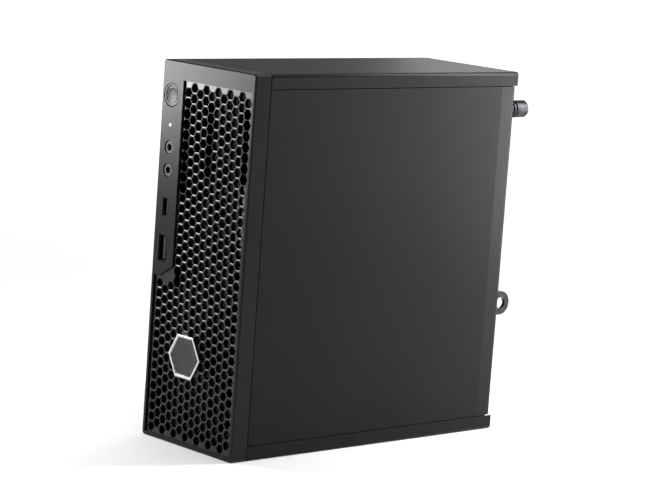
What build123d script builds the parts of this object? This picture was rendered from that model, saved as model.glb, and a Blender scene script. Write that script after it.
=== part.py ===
from build123d import *
import math
import os

# A compact upright workstation: a folded steel shell with a moulded front, a side cover that slides
# off to the rear, and the boards, coolers, drive and graphics card that it holds.
# The origin is the centre of the base face. -Y is the front, +X is the side cover, +Z is up.
# All sizes are in millimetres.

# ---- Case ----
CASE_WIDTH = 70.0
CASE_DEPTH = 178.0
CASE_HEIGHT = 188.6
SHEET = 0.9                  # thickness of every steel panel
BEND = 1.6                   # outside radius of the shell's long bends
LIP = 7.2                    # strip of shell above and below the cover
FIT = 0.25                   # clearance between fixed pieces and along the cover
GAP = 0.35                   # clearance round every other piece that moves
SEAM = 0.4                   # visible joint round the cover and behind the bezel
RAIL_HEIGHT = 5.5            # inner rail that the cover's tongue runs in front of

# ---- Bezel ----
BEZEL_DEPTH = 10.0
BEZEL_WALL = 2.0
BEZEL_FACE = 2.2
BEZEL_ROUND = 0.8            # rounding of the front's outer edge
TOP_BAND = 9.0
STRIP_WIDTH = 16.0
STRIP_DROP = 107.0           # how far the port strip runs down from the top
STRIP_SLANT = 6.0            # slanted lower corner of the port strip
GRILLE_RECESS = 1.0
GRILLE_THICK = 2.0
GRILLE_PITCH = 5.2
GRILLE_HOLE = 4.2            # across the flats
CLIP_WIDTH = 8.0             # clips that hold the bezel to the steel front
CLIP_HEIGHT = 1.5

# ---- Planes that the sizes above set ----
LEFT, RIGHT = -CASE_WIDTH / 2, CASE_WIDTH / 2
FRONT, REAR = -CASE_DEPTH / 2, CASE_DEPTH / 2
TOP = CASE_HEIGHT
SHELL_FRONT = FRONT + BEZEL_DEPTH
IN_LEFT, IN_RIGHT = LEFT + SHEET, RIGHT - SHEET
IN_TOP, IN_BOTTOM = TOP - SHEET, SHEET
IN_FRONT = SHELL_FRONT + SHEET            # inner face of the front panel
REAR_OUT = REAR - SHEET - FIT             # outer face of the rear panel
IN_REAR = REAR_OUT - SHEET                # inner face of the rear panel
TONGUE = (IN_RIGHT - FIT - SHEET, IN_RIGHT - FIT)
RAIL = (TONGUE[0] - FIT - SHEET, TONGUE[0] - FIT)

# ---- Front ports, as drops from the top ----
PORT_X = LEFT + 7.5
POWER_Z = TOP - 17.1
LIGHT_Z = TOP - 32.0
HEADSET_Z = TOP - 42.9
LINE_OUT_Z = TOP - 54.2
USB_C_Z = TOP - 72.4
USB_A_Z = TOP - 93.0
POWER_RADIUS = 6.0
POWER_TRAVEL = 0.8
POWER_EARS = (FRONT + BEZEL_FACE + GAP, FRONT + BEZEL_FACE + GAP + 1.0)
LIGHT_RADIUS = 1.0
JACK_RADIUS = 3.0            # barrel of an audio jack
JACK_BORE = 1.8
JACK_BORE_DEPTH = 14.0
PORT_INSET = 0.5             # how far the port shells stand behind the bezel's face
PORT_HALF_BODY = 3.0         # from the port line to the board that carries the ports
USB_C_SHELL = (3.2, 9.0)     # width in x, length in z
USB_A_SHELL = (5.7, 13.1)
SOCKET_WALL = 0.3
BEHIND_PANEL = IN_FRONT      # front face of everything fixed to the steel front

# ---- Badge ----
BADGE_X = -5.5
BADGE_Z = 44.7
BADGE_ACROSS = 21.0
BADGE_THICK = 1.2

# ---- Cover and its screw ----
FLANGE = 8.0                 # width of the cover's rear flange
COVER_BEND = 3.0
RELIEF = 8.0                 # slightly turned-in band along the cover's rear edge
RELIEF_DROP = 0.5
TAB_WIDTH = 14.5
TAB_HALF = 9.0
SCREW_X = RIGHT - 6.5
SCREW_Z = TOP - 20.0
SCREW_RADIUS = 1.75
SCREW_CLEARANCE = 0.05
SCREW_HEAD_RADIUS = 4.5
SCREW_HEAD = 8.5
SCREW_COLLAR_RADIUS = 3.4
SCREW_COLLAR = 3.0
SCREW_REACH = 3.6            # how far the thread reaches past the rear panel
WASHER_Y = (REAR - SHEET + SCREW_COLLAR + GAP, REAR - SHEET + SCREW_COLLAR + GAP + 0.7)

# ---- Padlock ring ----
RING_X = RIGHT - 4.0
RING_Z = 66.5
RING_THICK = 1.8
RING_RADIUS = 6.2
RING_HOLE = 3.1
RING_CENTRE_Y = REAR + 3.4

# ---- Side feet and mounting bosses ----
FOOT_RADIUS = 6.5
FOOT_HEIGHT = 1.6
FOOT_INSET = 24.0
BOLT_SPACING = 100.0
BOLT_HOLE = 1.65
BOSS_RADIUS = 3.4
BOSS_LENGTH = 2.4

# ---- Boards ----
BOARD_THICK = 1.6
STANDOFF = 5.5
BOARD = (IN_LEFT + STANDOFF, IN_LEFT + STANDOFF + BOARD_THICK)
BOARD_FACE = BOARD[1]
BOARD_LENGTH = 141.95
BOARD_Y = (IN_REAR - 1.0 - BOARD_LENGTH, IN_REAR - 1.0)
BOARD_Z = (6.0, TOP - 6.0)
IO_BOARD_THICK = 1.2
IO_FACE = PORT_X - PORT_HALF_BODY
STANDOFF_RADIUS = 3.0
BOARD_HOLE = 2.0
M3_RADIUS = 1.45
M3_HEAD = 2.8
M3_HEAD_HEIGHT = 1.6

# ---- Memory ----
MEMORY_LENGTH = 69.6
MEMORY_DEPTH = 30.0
MEMORY_THICK = 1.2
MEMORY_Z = 12.2
MEMORY_X = BOARD_FACE + 2.4
SOCKET_DEPTH = 7.0
SOCKET_HEIGHT = 5.2
MEMORY_Y = (BOARD_Y[0] + 1.0, BOARD_Y[0] + 41.5)     # front edge of each socket
CLIP_THICK = 1.3
CLIP_PIVOT = 1.2

# ---- Plug-in cards ----
CARD_THICK = 0.8
CARD_WIDTH = 22.0
STORAGE_Y = (MEMORY_Y[1] + 37.5, MEMORY_Y[1] + 37.5 + CARD_WIDTH)
STORAGE_Z = (8.0, 88.0)
STORAGE_X = BOARD_FACE + 3.4
WIRELESS_Y = (STORAGE_Y[1] + 1.5, STORAGE_Y[1] + 1.5 + CARD_WIDTH)
WIRELESS_Z = (8.0, 38.0)
CELL_RADIUS = 10.0
CELL_THICK = 3.2
CELL_Y = (WIRELESS_Y[0] + WIRELESS_Y[1]) / 2
CELL_Z = 62.0

# ---- Divider, riser and graphics card ----
RISER_Z = (97.2, 98.8)
RISER_Y = (BOARD_Y[0] + 18.0, BOARD_Y[0] + 98.0)
RISER_X = (BOARD_FACE + 1.0, BOARD_FACE + 43.0)
DIVIDER_Z = (RISER_Z[1], RISER_Z[1] + SHEET)
GRAPHICS_X = (BOARD_FACE + 33.0, BOARD_FACE + 33.0 + BOARD_THICK)
GRAPHICS_Y = (BOARD_Y[0] - 4.0, IN_REAR - 3.0)
GRAPHICS_Z = (16.0, 84.0)
GRAPHICS_FINGERS = 8.5
COOLER_X = (GRAPHICS_X[1] + 0.6, GRAPHICS_X[1] + 13.4)
COOLER_Y = (GRAPHICS_Y[0] + 4.0, GRAPHICS_Y[1] - 26.0)
COOLER_Z = (GRAPHICS_Z[0] + 3.0, GRAPHICS_Z[1] - 3.0)
GRAPHICS_FAN_Y = COOLER_Y[0] + 36.0
GRAPHICS_FAN_Z = (COOLER_Z[0] + COOLER_Z[1]) / 2
GRAPHICS_FAN_RADIUS = 23.0
FAN_GAP = 1.2
BRACKET_X = (GRAPHICS_X[0] - 3.0, COOLER_X[1] + 0.4)
BRACKET_Z = (8.0, 88.0)
BRACKET_WINDOW = (2.0, 4.0)  # how far the panel's window stands inside the bracket, in x and z
MINI_PORT = (4.8, 8.4)
MINI_PORT_PITCH = 18.0

# ---- Processor cooling ----
HEATSINK_Y = (BOARD_Y[0] + 62.0, BOARD_Y[0] + 123.0)
HEATSINK_Z = (DIVIDER_Z[1] + 4.3, DIVIDER_Z[1] + 71.1)
PROCESSOR_Y = (HEATSINK_Y[0] + HEATSINK_Y[1]) / 2
PROCESSOR_Z = (HEATSINK_Z[0] + HEATSINK_Z[1]) / 2
PROCESSOR_SOCKET = 42.0
PROCESSOR_BASE = 37.5
PROCESSOR_LID = 30.0
HEATSINK_BASE = (BOARD_FACE + 6.7, BOARD_FACE + 10.2)
HEATSINK_TIP = BOARD_FACE + 32.0
FIN_THICK = 0.8
FIN_COUNT = 25
BLOWER_X = (BOARD_FACE + 7.0, BOARD_FACE + 33.0)
BLOWER_Y = (HEATSINK_Y[0] - 66.0, HEATSINK_Y[0] - 0.5)
BLOWER_Z = (HEATSINK_Z[0] - 0.6, HEATSINK_Z[1] + 0.6)
BLOWER_WALL = 1.5
BLOWER_INLET = 22.0
ROTOR_Y = (BLOWER_Y[0] + BLOWER_Y[1]) / 2
ROTOR_Z = (BLOWER_Z[0] + BLOWER_Z[1]) / 2
ROTOR_RADIUS = 26.0
ROTOR_HUB = 13.0
ROTOR_BLADES = 25
SHAFT_RADIUS = 1.5
SHAFT_CLEARANCE = 0.05

# ---- Drive ----
DRIVE = (7.0, 100.2, 69.85)  # thickness in x, length in y, width in z
CAGE_X = (BLOWER_X[1] + 8.6, BLOWER_X[1] + 8.6 + SHEET)
DRIVE_X = (CAGE_X[1] + 1.3, CAGE_X[1] + 1.3 + DRIVE[0])
DRIVE_Y = (IN_FRONT + 10.1, IN_FRONT + 10.1 + DRIVE[1])
DRIVE_Z = (DIVIDER_Z[1] + 6.8, DIVIDER_Z[1] + 6.8 + DRIVE[2])
CARRIER_X = (CAGE_X[1] + GAP, DRIVE_X[1] + 0.8)
CARRIER_RAIL = 1.8
CABLE_SLOT_Y = (IN_FRONT + 2.0, IN_FRONT + 8.0)
CABLE_SLOT_Z = (DRIVE_Z[0] + 20.0, DRIVE_Z[0] + 32.0)
CARRIER_END = 7.0
DRIVE_TRAVEL = 12.0

# ---- Cables ----
CABLE_RADIUS = 1.2
DRIVE_HEADER_Y = BOARD_Y[0] + 8.0
DRIVE_HEADER_Z = DIVIDER_Z[1] - 1.0
FAN_HEADER_Z = BLOWER_Z[1] + 5.0
ANTENNA_CABLE_RADIUS = 0.6

# ---- Rear sockets on the main board: each is (low z, high z, reach in x) ----
SOCKET_Y = (BOARD_Y[1] - 16.0, REAR_OUT + 0.4)
POWER_IN_Z = 15.0
POWER_IN_RADIUS = 5.3
POWER_IN_BORE = 3.7
ETHERNET = (24.0, 40.0, 13.8)
USB_STACKS = ((42.5, 57.0, 15.6), (59.5, 74.0, 15.6))
DISPLAY_STACK = (77.0, 94.0, 15.6)
ANTENNA_X = (BOARD_FACE + 5.0, BOARD_FACE + 19.0)
ANTENNA_Z = TOP - 9.0
ANTENNA_RADIUS = 3.1
OPTION_X = (BOARD_FACE + 18.0, BOARD_FACE + 29.0)
OPTION_Z = (30.0, 66.0)

# ---- Cover switch ----
PLUNGER_Y = BEHIND_PANEL + 3.5
PLUNGER_Z = RISER_Z[0] - 18
PLUNGER_RADIUS = 1.2
PLUNGER_TRAVEL = 1.2
PLUNGER_BORE = (RAIL[0] - 7.0, RAIL[0])

# ---- Security slot and vents ----
LOCK_SLOT = (3.2, 7.2)       # security slot, width in x and length in z
LOCK_X = RIGHT - 11.5
LOCK_Z = 140.0
VENT_PITCH = 5.0
VENT_HOLE = 4.0


# ---- Helpers ----
def block(x, y, z):
    """A box between the low and high value of each pair."""
    centre = Pos((x[0] + x[1]) / 2, (y[0] + y[1]) / 2, (z[0] + z[1]) / 2)
    return centre * Box(x[1] - x[0], y[1] - y[0], z[1] - z[0])


def about(centre, size):
    """The pair of values half a size either side of a centre."""
    return (centre - size / 2, centre + size / 2)


def rod_x(y, z, radius, x):
    """A round bar along X at a given y and z."""
    return Pos((x[0] + x[1]) / 2, y, z) * Rot(0, 90, 0) * Cylinder(radius, x[1] - x[0])


def rod_y(x, z, radius, y):
    """A round bar along Y at a given x and z."""
    return Pos(x, (y[0] + y[1]) / 2, z) * Rot(90, 0, 0) * Cylinder(radius, y[1] - y[0])


def along_y(profile, y):
    """Extrudes a profile drawn in x and z from the low to the high y."""
    return Pos(0, y[1], 0) * extrude(Plane.XZ * profile, y[1] - y[0])


def along_z(profile, z):
    """Extrudes a profile drawn in x and y from the low to the high z."""
    return Pos(0, 0, z[0]) * extrude(profile, z[1] - z[0])


def honeycomb(x, z, pitch):
    """Centres of a flat-topped honeycomb that fill a window, in rows a pitch apart."""
    step = pitch * math.sqrt(3) / 2
    columns = int((x[1] - x[0]) / step)
    rows = int((z[1] - z[0]) / pitch)
    start = (x[0] + x[1] - columns * step) / 2
    for column in range(columns + 1):
        odd = column % 2
        low = (z[0] + z[1] - rows * pitch) / 2 + odd * pitch / 2
        for row in range(rows + 1 - odd):
            yield start + column * step, low + row * pitch


def hexagon(x, z, across, y):
    """A closed flat-topped hexagon, drawn in x and z at one y."""
    corner = across / math.sqrt(3)
    turns = [math.radians(60 * k) for k in range(6)]
    points = [(x + corner * math.cos(t), y, z + corner * math.sin(t)) for t in turns]
    return Wire.make_polygon(points, close=True)


def perforated(outline, holes, y):
    """A flat panel with an outline of (x, z) corners and closed holes in it."""
    edge = Wire.make_polygon([(px, y[0], pz) for px, pz in outline], close=True)
    return extrude(Face(edge, holes), amount=y[1] - y[0], dir=(0, 1, 0))


def shell_box(x, y, z, wall, depth):
    """A rectangular socket shell, open towards +Y (positive depth) or -Y (negative)."""
    inner_y = (y[1] - depth, y[1] + 1) if depth > 0 else (y[0] - 1, y[0] - depth)
    return block(x, y, z) - block((x[0] + wall, x[1] - wall), inner_y, (z[0] + wall, z[1] - wall))


def save(name, *pieces):
    """Writes one sub-part, which may hold several separate solids."""
    solids = [s for piece in pieces for s in piece.solids()]
    shape = solids[0] if len(solids) == 1 else Compound(children=solids)
    export_step(shape, f"parts/{name}.step")


# ---- Steel case ----
def bolt_places():
    """Centres of the four mounting bosses on the left wall, in y and z."""
    for y in about(0, BOLT_SPACING):
        for z in about(TOP / 2, BOLT_SPACING):
            yield y, z


def chassis_shell():
    """Left wall, top, bottom and the two lips, folded from one sheet, with rails for the cover."""
    middle = Pos(0, TOP / 2)
    outside = middle * RectangleRounded(CASE_WIDTH, CASE_HEIGHT, BEND)
    inside = middle * RectangleRounded(CASE_WIDTH - 2 * SHEET, CASE_HEIGHT - 2 * SHEET, BEND - SHEET)
    mouth = Pos(RIGHT, TOP / 2) * Rectangle(4 * SHEET, CASE_HEIGHT - 2 * LIP)
    shell = along_y(outside - inside - mouth, (SHELL_FRONT, REAR))
    rail_y = (IN_FRONT + FIT, IN_REAR - FIT)
    shell += block(RAIL, rail_y, (IN_TOP - RAIL_HEIGHT, IN_TOP))
    shell += block(RAIL, rail_y, (IN_BOTTOM, IN_BOTTOM + RAIL_HEIGHT))
    for y, z in bolt_places():
        shell += rod_x(y, z, BOSS_RADIUS, (IN_LEFT, IN_LEFT + BOSS_LENGTH))
        shell -= rod_x(y, z, BOLT_HOLE, (LEFT - 1, IN_LEFT + BOSS_LENGTH + 1))
    return shell


def rear_openings():
    """Everything that is cut from the rear panel, apart from its vents."""
    y = (IN_REAR - 6, REAR)
    edge = 0.3
    for low, high, reach in (ETHERNET, *USB_STACKS, DISPLAY_STACK):
        yield block((BOARD_FACE - edge, BOARD_FACE + reach + edge), y, (low - edge, high + edge))
    yield rod_y(BOARD_FACE + 7.5, POWER_IN_Z, POWER_IN_RADIUS + edge, y)
    for x in ANTENNA_X:
        yield rod_y(x, ANTENNA_Z, ANTENNA_RADIUS + 0.1, y)
    in_x, in_z = BRACKET_WINDOW
    yield block((BRACKET_X[0] + in_x, BRACKET_X[1] - in_x), y, (BRACKET_Z[0] + in_z, BRACKET_Z[1] - in_z))
    yield block(about(LOCK_X, LOCK_SLOT[0]), y, about(LOCK_Z, LOCK_SLOT[1]))
    yield block(about(RING_X, RING_THICK + 2 * FIT), y, about(RING_Z, 2 * RING_RADIUS + 2 * FIT))
    yield rod_y(SCREW_X, SCREW_Z, SCREW_RADIUS + SCREW_CLEARANCE, y)


def rear_panel():
    """Flat rear panel with its sockets' cut-outs, the exhaust honeycomb and the cover screw's boss."""
    gap = 0.1
    x = (IN_LEFT + gap, RAIL[0] - gap)
    z = (IN_BOTTOM + gap, IN_TOP - gap)
    corner = BEND - SHEET
    outline = [(x[0] + corner, z[0]), (x[1], z[0]), (x[1], z[1]), (x[0] + corner, z[1])]
    outline += [(x[0], z[1] - corner), (x[0], z[0] + corner)]
    vents = honeycomb((BOARD_FACE + 3, SCREW_X - 11), (HEATSINK_Z[0] + 3, HEATSINK_Z[1] - 2), VENT_PITCH)
    holes = [hexagon(px, pz, VENT_HOLE, IN_REAR) for px, pz in vents]
    panel = perforated(outline, holes, (IN_REAR, REAR_OUT))
    panel += rod_y(SCREW_X, SCREW_Z, SCREW_RADIUS + 1.2, (IN_REAR - SCREW_REACH + 0.6, IN_REAR))
    return panel - list(rear_openings())


def front_openings():
    """Everything that is cut from the front panel, apart from its vents."""
    y = (SHELL_FRONT - 1, IN_FRONT + 1)
    edge = 0.4
    for z in (HEADSET_Z, LINE_OUT_Z):
        yield rod_y(PORT_X, z, JACK_RADIUS + edge, y)
    for z, (wide, long) in ((USB_C_Z, USB_C_SHELL), (USB_A_Z, USB_A_SHELL)):
        yield block(about(PORT_X, wide + 2 * edge), y, about(z, long + 2 * edge))
    yield rod_y(PORT_X, POWER_Z, 2.6, y)
    yield rod_y(PORT_X, LIGHT_Z, LIGHT_RADIUS + edge, y)
    for x, z, _ in clip_places():
        yield block(about(x, CLIP_WIDTH + 2 * edge), y, about(z, CLIP_HEIGHT + 2 * edge))


def clip_places():
    """Centre of each bezel clip in x and z, and the way its hook points in z."""
    for x in (BOARD_FACE + 9.0, CAGE_X[0] - 6.6):
        yield x, BEZEL_WALL + CLIP_HEIGHT / 2, 1
        yield x, TOP - BEZEL_WALL - CLIP_HEIGHT / 2, -1


def front_panel():
    """Steel inner front, perforated behind the grille, that carries the bezel and the port board."""
    gap = 0.1
    x = (IN_LEFT + gap, IN_RIGHT - SEAM)
    z = (IN_BOTTOM + gap, IN_TOP - gap)
    corner = BEND - SHEET
    outline = [(x[0] + corner, z[0]), (x[1] - corner, z[0]), (x[1], z[0] + corner), (x[1], z[1] - corner)]
    outline += [(x[1] - corner, z[1]), (x[0] + corner, z[1]), (x[0], z[1] - corner), (x[0], z[0] + corner)]
    vents = honeycomb((LEFT + STRIP_WIDTH + 5, RIGHT - 6), (12, TOP - TOP_BAND - 6), GRILLE_PITCH + 2)
    holes = [hexagon(px, pz, GRILLE_PITCH, SHELL_FRONT) for px, pz in vents]
    return perforated(outline, holes, (SHELL_FRONT, IN_FRONT)) - list(front_openings())


# ---- Front moulding ----
def strip_corners():
    """Corners of the grille's window in x and z: the face less the top band and the port strip."""
    low, high = BEZEL_WALL, TOP - TOP_BAND
    left, right = LEFT + BEZEL_WALL, RIGHT - BEZEL_WALL
    strip, foot = LEFT + STRIP_WIDTH, TOP - STRIP_DROP
    return [(left, low), (right, low), (right, high), (strip, high), (strip, foot + STRIP_SLANT),
            (strip - STRIP_SLANT * math.sqrt(3), foot), (left, foot)]


def front_bezel():
    """Moulded front: side returns, top band and port strip, with four clips for the steel front."""
    middle = Pos(0, TOP / 2)
    outside = middle * RectangleRounded(CASE_WIDTH, CASE_HEIGHT, BEND)
    inside = middle * Rectangle(CASE_WIDTH - 2 * BEZEL_WALL, CASE_HEIGHT - 2 * BEZEL_WALL)
    ledge = middle * Rectangle(CASE_WIDTH - 4 * BEZEL_WALL, CASE_HEIGHT - 4 * BEZEL_WALL)
    window = Polygon(*strip_corners(), align=None)
    grille_back = FRONT + GRILLE_RECESS + GRILLE_THICK
    plate = along_y(outside, (FRONT, FRONT + BEZEL_FACE))
    plate = fillet(plate.faces().sort_by(Axis.Y)[0].edges(), BEZEL_ROUND)
    bezel = plate - along_y(window, (FRONT - 1, FRONT + BEZEL_FACE + 1))
    bezel += along_y(outside - inside, (FRONT + BEZEL_FACE / 2, SHELL_FRONT - SEAM))
    bezel += along_y(inside - ledge, (grille_back + 0.1, grille_back + 1.6))
    y = (FRONT - 1, FRONT + BEZEL_FACE + 4)
    bezel -= rod_y(PORT_X, POWER_Z, POWER_RADIUS, y)
    bezel -= rod_y(PORT_X, LIGHT_Z, LIGHT_RADIUS, y)
    for z in (HEADSET_Z, LINE_OUT_Z):
        bezel -= rod_y(PORT_X, z, JACK_RADIUS + FIT, y)
    for z, (wide, long) in ((USB_C_Z, USB_C_SHELL), (USB_A_Z, USB_A_SHELL)):
        bezel -= block(about(PORT_X, wide + 2 * FIT), y, about(z, long + 2 * FIT))
    hook_y = (IN_FRONT + FIT, IN_FRONT + 2.0)
    for x, z, way in clip_places():
        bezel += block(about(x, CLIP_WIDTH), (grille_back + 1, hook_y[1]), about(z, CLIP_HEIGHT))
        bezel += block(about(x, CLIP_WIDTH), hook_y, about(z + way * 1.0, CLIP_HEIGHT))
    return bezel


def front_grille():
    """Honeycomb insert that drops into the bezel's window from behind."""
    gap = 0.1
    corners = strip_corners()
    centre_x, centre_z = 0.0, TOP / 2
    outline = [(x + math.copysign(gap, centre_x - x), z + math.copysign(gap, centre_z - z)) for x, z in corners]
    outline[3] = (corners[3][0] + gap, corners[3][1] - gap)
    outline[4] = (corners[4][0] + gap, corners[4][1] - gap)
    outline[5] = (corners[5][0] + gap, corners[5][1] - 2 * gap)
    outline[6] = (corners[6][0] + gap, corners[6][1] - 2 * gap)
    y = (FRONT + GRILLE_RECESS, FRONT + GRILLE_RECESS + GRILLE_THICK)
    holes = []
    edge = GRILLE_HOLE / 2 + 0.9
    foot = TOP - STRIP_DROP
    for x, z in honeycomb((LEFT + BEZEL_WALL + edge, RIGHT - BEZEL_WALL - edge),
                          (BEZEL_WALL + edge, TOP - TOP_BAND - edge), GRILLE_PITCH):
        beside = x > LEFT + STRIP_WIDTH + edge
        beneath = z < foot - edge
        on_badge = math.hypot(x - BADGE_X, z - BADGE_Z) < BADGE_ACROSS / 2
        if (beside or beneath) and not on_badge:
            holes.append(hexagon(x, z, GRILLE_HOLE, y[0]))
    return perforated(outline, holes, y)


def badge():
    """Plain hexagonal badge with a raised rim, on the grille."""
    y = FRONT + GRILLE_RECESS
    plate = extrude(Face(hexagon(BADGE_X, BADGE_Z, BADGE_ACROSS, y - BADGE_THICK)), BADGE_THICK, dir=(0, 1, 0))
    hollow = extrude(Face(hexagon(BADGE_X, BADGE_Z, BADGE_ACROSS - 3, y - BADGE_THICK)), 0.5, dir=(0, 1, 0))
    return plate - hollow


def power_button():
    """Round cap with two retaining ears and a stem that reaches into the steel front."""
    cap = rod_y(PORT_X, POWER_Z, POWER_RADIUS - GAP, (FRONT + 0.2, POWER_EARS[0]))
    ears = block(about(PORT_X, 6.0), POWER_EARS, about(POWER_Z, 2 * POWER_RADIUS + 3))
    stem = rod_y(PORT_X, POWER_Z, 1.8, (POWER_EARS[1], BEHIND_PANEL - POWER_TRAVEL - GAP))
    return cap + ears + stem


# ---- Port board behind the strip ----
def io_board():
    """Small board that carries the front sockets and the power switch."""
    return block((IO_FACE - IO_BOARD_THICK, IO_FACE), (BEHIND_PANEL, BOARD_Y[0] - 4),
                 (USB_A_Z - 12, POWER_Z + 10))


def audio_jack(z):
    """Audio jack: a barrel that reaches the bezel, on a square body."""
    front = FRONT + PORT_INSET
    body = block((IO_FACE, PORT_X + PORT_HALF_BODY), (BEHIND_PANEL, BEHIND_PANEL + 13), about(z, 6.4))
    barrel = rod_y(PORT_X, z, JACK_RADIUS, (front, BEHIND_PANEL))
    return body + barrel - rod_y(PORT_X, z, JACK_BORE, (front - 1, front + JACK_BORE_DEPTH))


def usb_socket(z, size, tongue):
    """USB socket: a thin shell with a tongue in it, on a block that meets the board."""
    wide, long = size
    y = (FRONT + PORT_INSET, BEHIND_PANEL)
    x = about(PORT_X, wide)
    shell = shell_box(x, y, about(z, long), SOCKET_WALL, -(y[1] - y[0] - 0.5))
    shell += block(about(PORT_X, tongue[0]), (y[0] + 0.8, y[1]), about(z, tongue[1]))
    return shell + block((IO_FACE, x[1]), (y[1], y[1] + 6), about(z, long))


def power_switch():
    """Tact switch that the power button's stem presses."""
    body = block((IO_FACE, PORT_X + 2.8), (BEHIND_PANEL, BEHIND_PANEL + 4), about(POWER_Z, 6.0))
    return body


def activity_lens():
    """Light guide from the board to the bezel's face."""
    return rod_y(PORT_X, LIGHT_Z, LIGHT_RADIUS - 0.1, (FRONT + 0.1, BEHIND_PANEL + 2))


# ---- Side cover ----
def side_cover():
    """Flat cover with a rear flange, a tab for the captive screw and tongues behind the lips."""
    mid = SHEET / 2
    path = [(RIGHT - mid, SHELL_FRONT), (RIGHT - mid, REAR - RELIEF - COVER_BEND),
            (RIGHT - mid - RELIEF_DROP, REAR - mid), (RIGHT - FLANGE, REAR - mid)]
    line = FilletPolyline(*path, radius=[2 * COVER_BEND, COVER_BEND - mid])
    z = (LIP + SEAM, TOP - LIP - SEAM)
    cover = along_z(trace(line, SHEET), z)
    tab = block((RIGHT - TAB_WIDTH, RIGHT - FLANGE + 1), (REAR - SHEET, REAR), about(SCREW_Z, 2 * TAB_HALF))
    cover += tab
    tongue_y = (IN_FRONT + FIT, IN_REAR - RELIEF - COVER_BEND)
    reach = LIP - SHEET - 1.2
    for edge, way in ((z[1], 1), (z[0], -1)):
        root = sorted((edge, edge - way * 3))
        tip = sorted((edge - way * 3, edge + way * reach))
        cover += block((TONGUE[0], RIGHT - mid), tongue_y, root)
        cover += block(TONGUE, tongue_y, tip)
    hole_y = (REAR - 4, REAR + 1)
    cover -= rod_y(SCREW_X, SCREW_Z, SCREW_COLLAR_RADIUS + SCREW_CLEARANCE, hole_y)
    cover -= block(about(RING_X, RING_THICK + 1.2), hole_y, about(RING_Z, 2 * RING_RADIUS + 1.2))
    return cover


def thumbscrew_collar():
    """Sleeve that keeps the screw captive in the cover's tab and backs out with it."""
    y = (REAR - SHEET, REAR - SHEET + SCREW_COLLAR)
    collar = rod_y(SCREW_X, SCREW_Z, SCREW_COLLAR_RADIUS, y)
    return collar - rod_y(SCREW_X, SCREW_Z, SCREW_RADIUS + SCREW_CLEARANCE, (REAR - 5, REAR + 5))


def thumbscrew_washer():
    """Washer under the screw's head."""
    ring = rod_y(SCREW_X, SCREW_Z, SCREW_COLLAR_RADIUS + 0.6, WASHER_Y)
    return ring - rod_y(SCREW_X, SCREW_Z, SCREW_RADIUS + SCREW_CLEARANCE, (REAR, REAR + 9))


def thumbscrew():
    """Knurled screw: head with grip flutes and a driver slot, and a shank into the rear panel."""
    head_y = (WASHER_Y[1] + GAP, WASHER_Y[1] + GAP + SCREW_HEAD)
    head = rod_y(SCREW_X, SCREW_Z, SCREW_HEAD_RADIUS, head_y)
    flutes = 20
    for k in range(flutes):
        turn = 2 * math.pi * k / flutes
        x = SCREW_X + SCREW_HEAD_RADIUS * math.cos(turn)
        z = SCREW_Z + SCREW_HEAD_RADIUS * math.sin(turn)
        head -= rod_y(x, z, 0.35, (head_y[0] + 1, head_y[1] - 1))
    slot = block(about(SCREW_X, 1.2), (head_y[1] - 1.2, head_y[1] + 1), about(SCREW_Z, 7.0))
    shank = rod_y(SCREW_X, SCREW_Z, SCREW_RADIUS, (IN_REAR - SCREW_REACH, head_y[0]))
    return head - slot + shank


def padlock_ring():
    """Loop that reaches out through the cover's flange, folded from a foot behind the rear panel."""
    x = about(RING_X, RING_THICK)
    tail = block(x, (IN_REAR - SHEET, RING_CENTRE_Y), about(RING_Z, 2 * RING_RADIUS))
    ring = rod_x(RING_CENTRE_Y, RING_Z, RING_RADIUS, x)
    foot = block((x[0] - 6, x[1]), (IN_REAR - SHEET, IN_REAR), about(RING_Z, 2 * RING_RADIUS))
    return tail + ring + foot - rod_x(RING_CENTRE_Y, RING_Z, RING_HOLE, (x[0] - 1, x[1] + 1))


def foot_places():
    """Centres of the four side feet, in y and z."""
    for y in (SHELL_FRONT + FOOT_INSET - 8, REAR - FOOT_INSET):
        for z in (FOOT_INSET, TOP - FOOT_INSET):
            yield y, z


def side_feet():
    """Rubber discs on the left wall, for when the case lies flat."""
    for y, z in foot_places():
        yield rod_x(y, z, FOOT_RADIUS, (LEFT - FOOT_HEIGHT, LEFT))


# ---- Main board and what plugs into it ----
def board_screw_places():
    """Where the main board is screwed down, in y and z."""
    gap_y = (MEMORY_Y[0] + SOCKET_DEPTH + MEMORY_DEPTH - 3 + MEMORY_Y[1]) / 2
    return ((BOARD_Y[0] + 5, 91.0), (BOARD_Y[0] + 5, BOARD_Z[1] - 4.6), (HEATSINK_Y[0] + 4, BOARD_Z[1] - 4.6),
            (HEATSINK_Y[1] - 1, BOARD_Z[1] - 4.6), (gap_y, 14.0), (HEATSINK_Y[1] - 10, 97.0))


def motherboard():
    """Main board with its fixing holes."""
    board = block(BOARD, BOARD_Y, BOARD_Z)
    return board - [rod_x(y, z, BOARD_HOLE, (BOARD[0] - 1, BOARD[1] + 1)) for y, z in board_screw_places()]


def board_standoffs():
    """Posts on the left wall for the main board, and two shorter ones for the port board."""
    for y, z in board_screw_places():
        post = rod_x(y, z, STANDOFF_RADIUS, (IN_LEFT, BOARD[0]))
        yield post - rod_x(y, z, M3_RADIUS + 0.05, (IN_LEFT + 1, BOARD[0] + 1))
    for z in (USB_A_Z - 9, POWER_Z + 7):
        yield rod_x(BOARD_Y[0] - 8, z, STANDOFF_RADIUS - 0.5, (IN_LEFT, IO_FACE - IO_BOARD_THICK))


def screw_x(y, z, seat, shank):
    """Pan-head screw along X whose head sits on a seat and whose shank runs to the left of it."""
    head = rod_x(y, z, M3_HEAD, (seat, seat + M3_HEAD_HEIGHT))
    cross = block((seat + 1, seat + 3), about(y, 3.0), about(z, 0.6))
    cross += block((seat + 1, seat + 3), about(y, 0.6), about(z, 3.0))
    return head - cross + rod_x(y, z, M3_RADIUS, (shank, seat))


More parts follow.
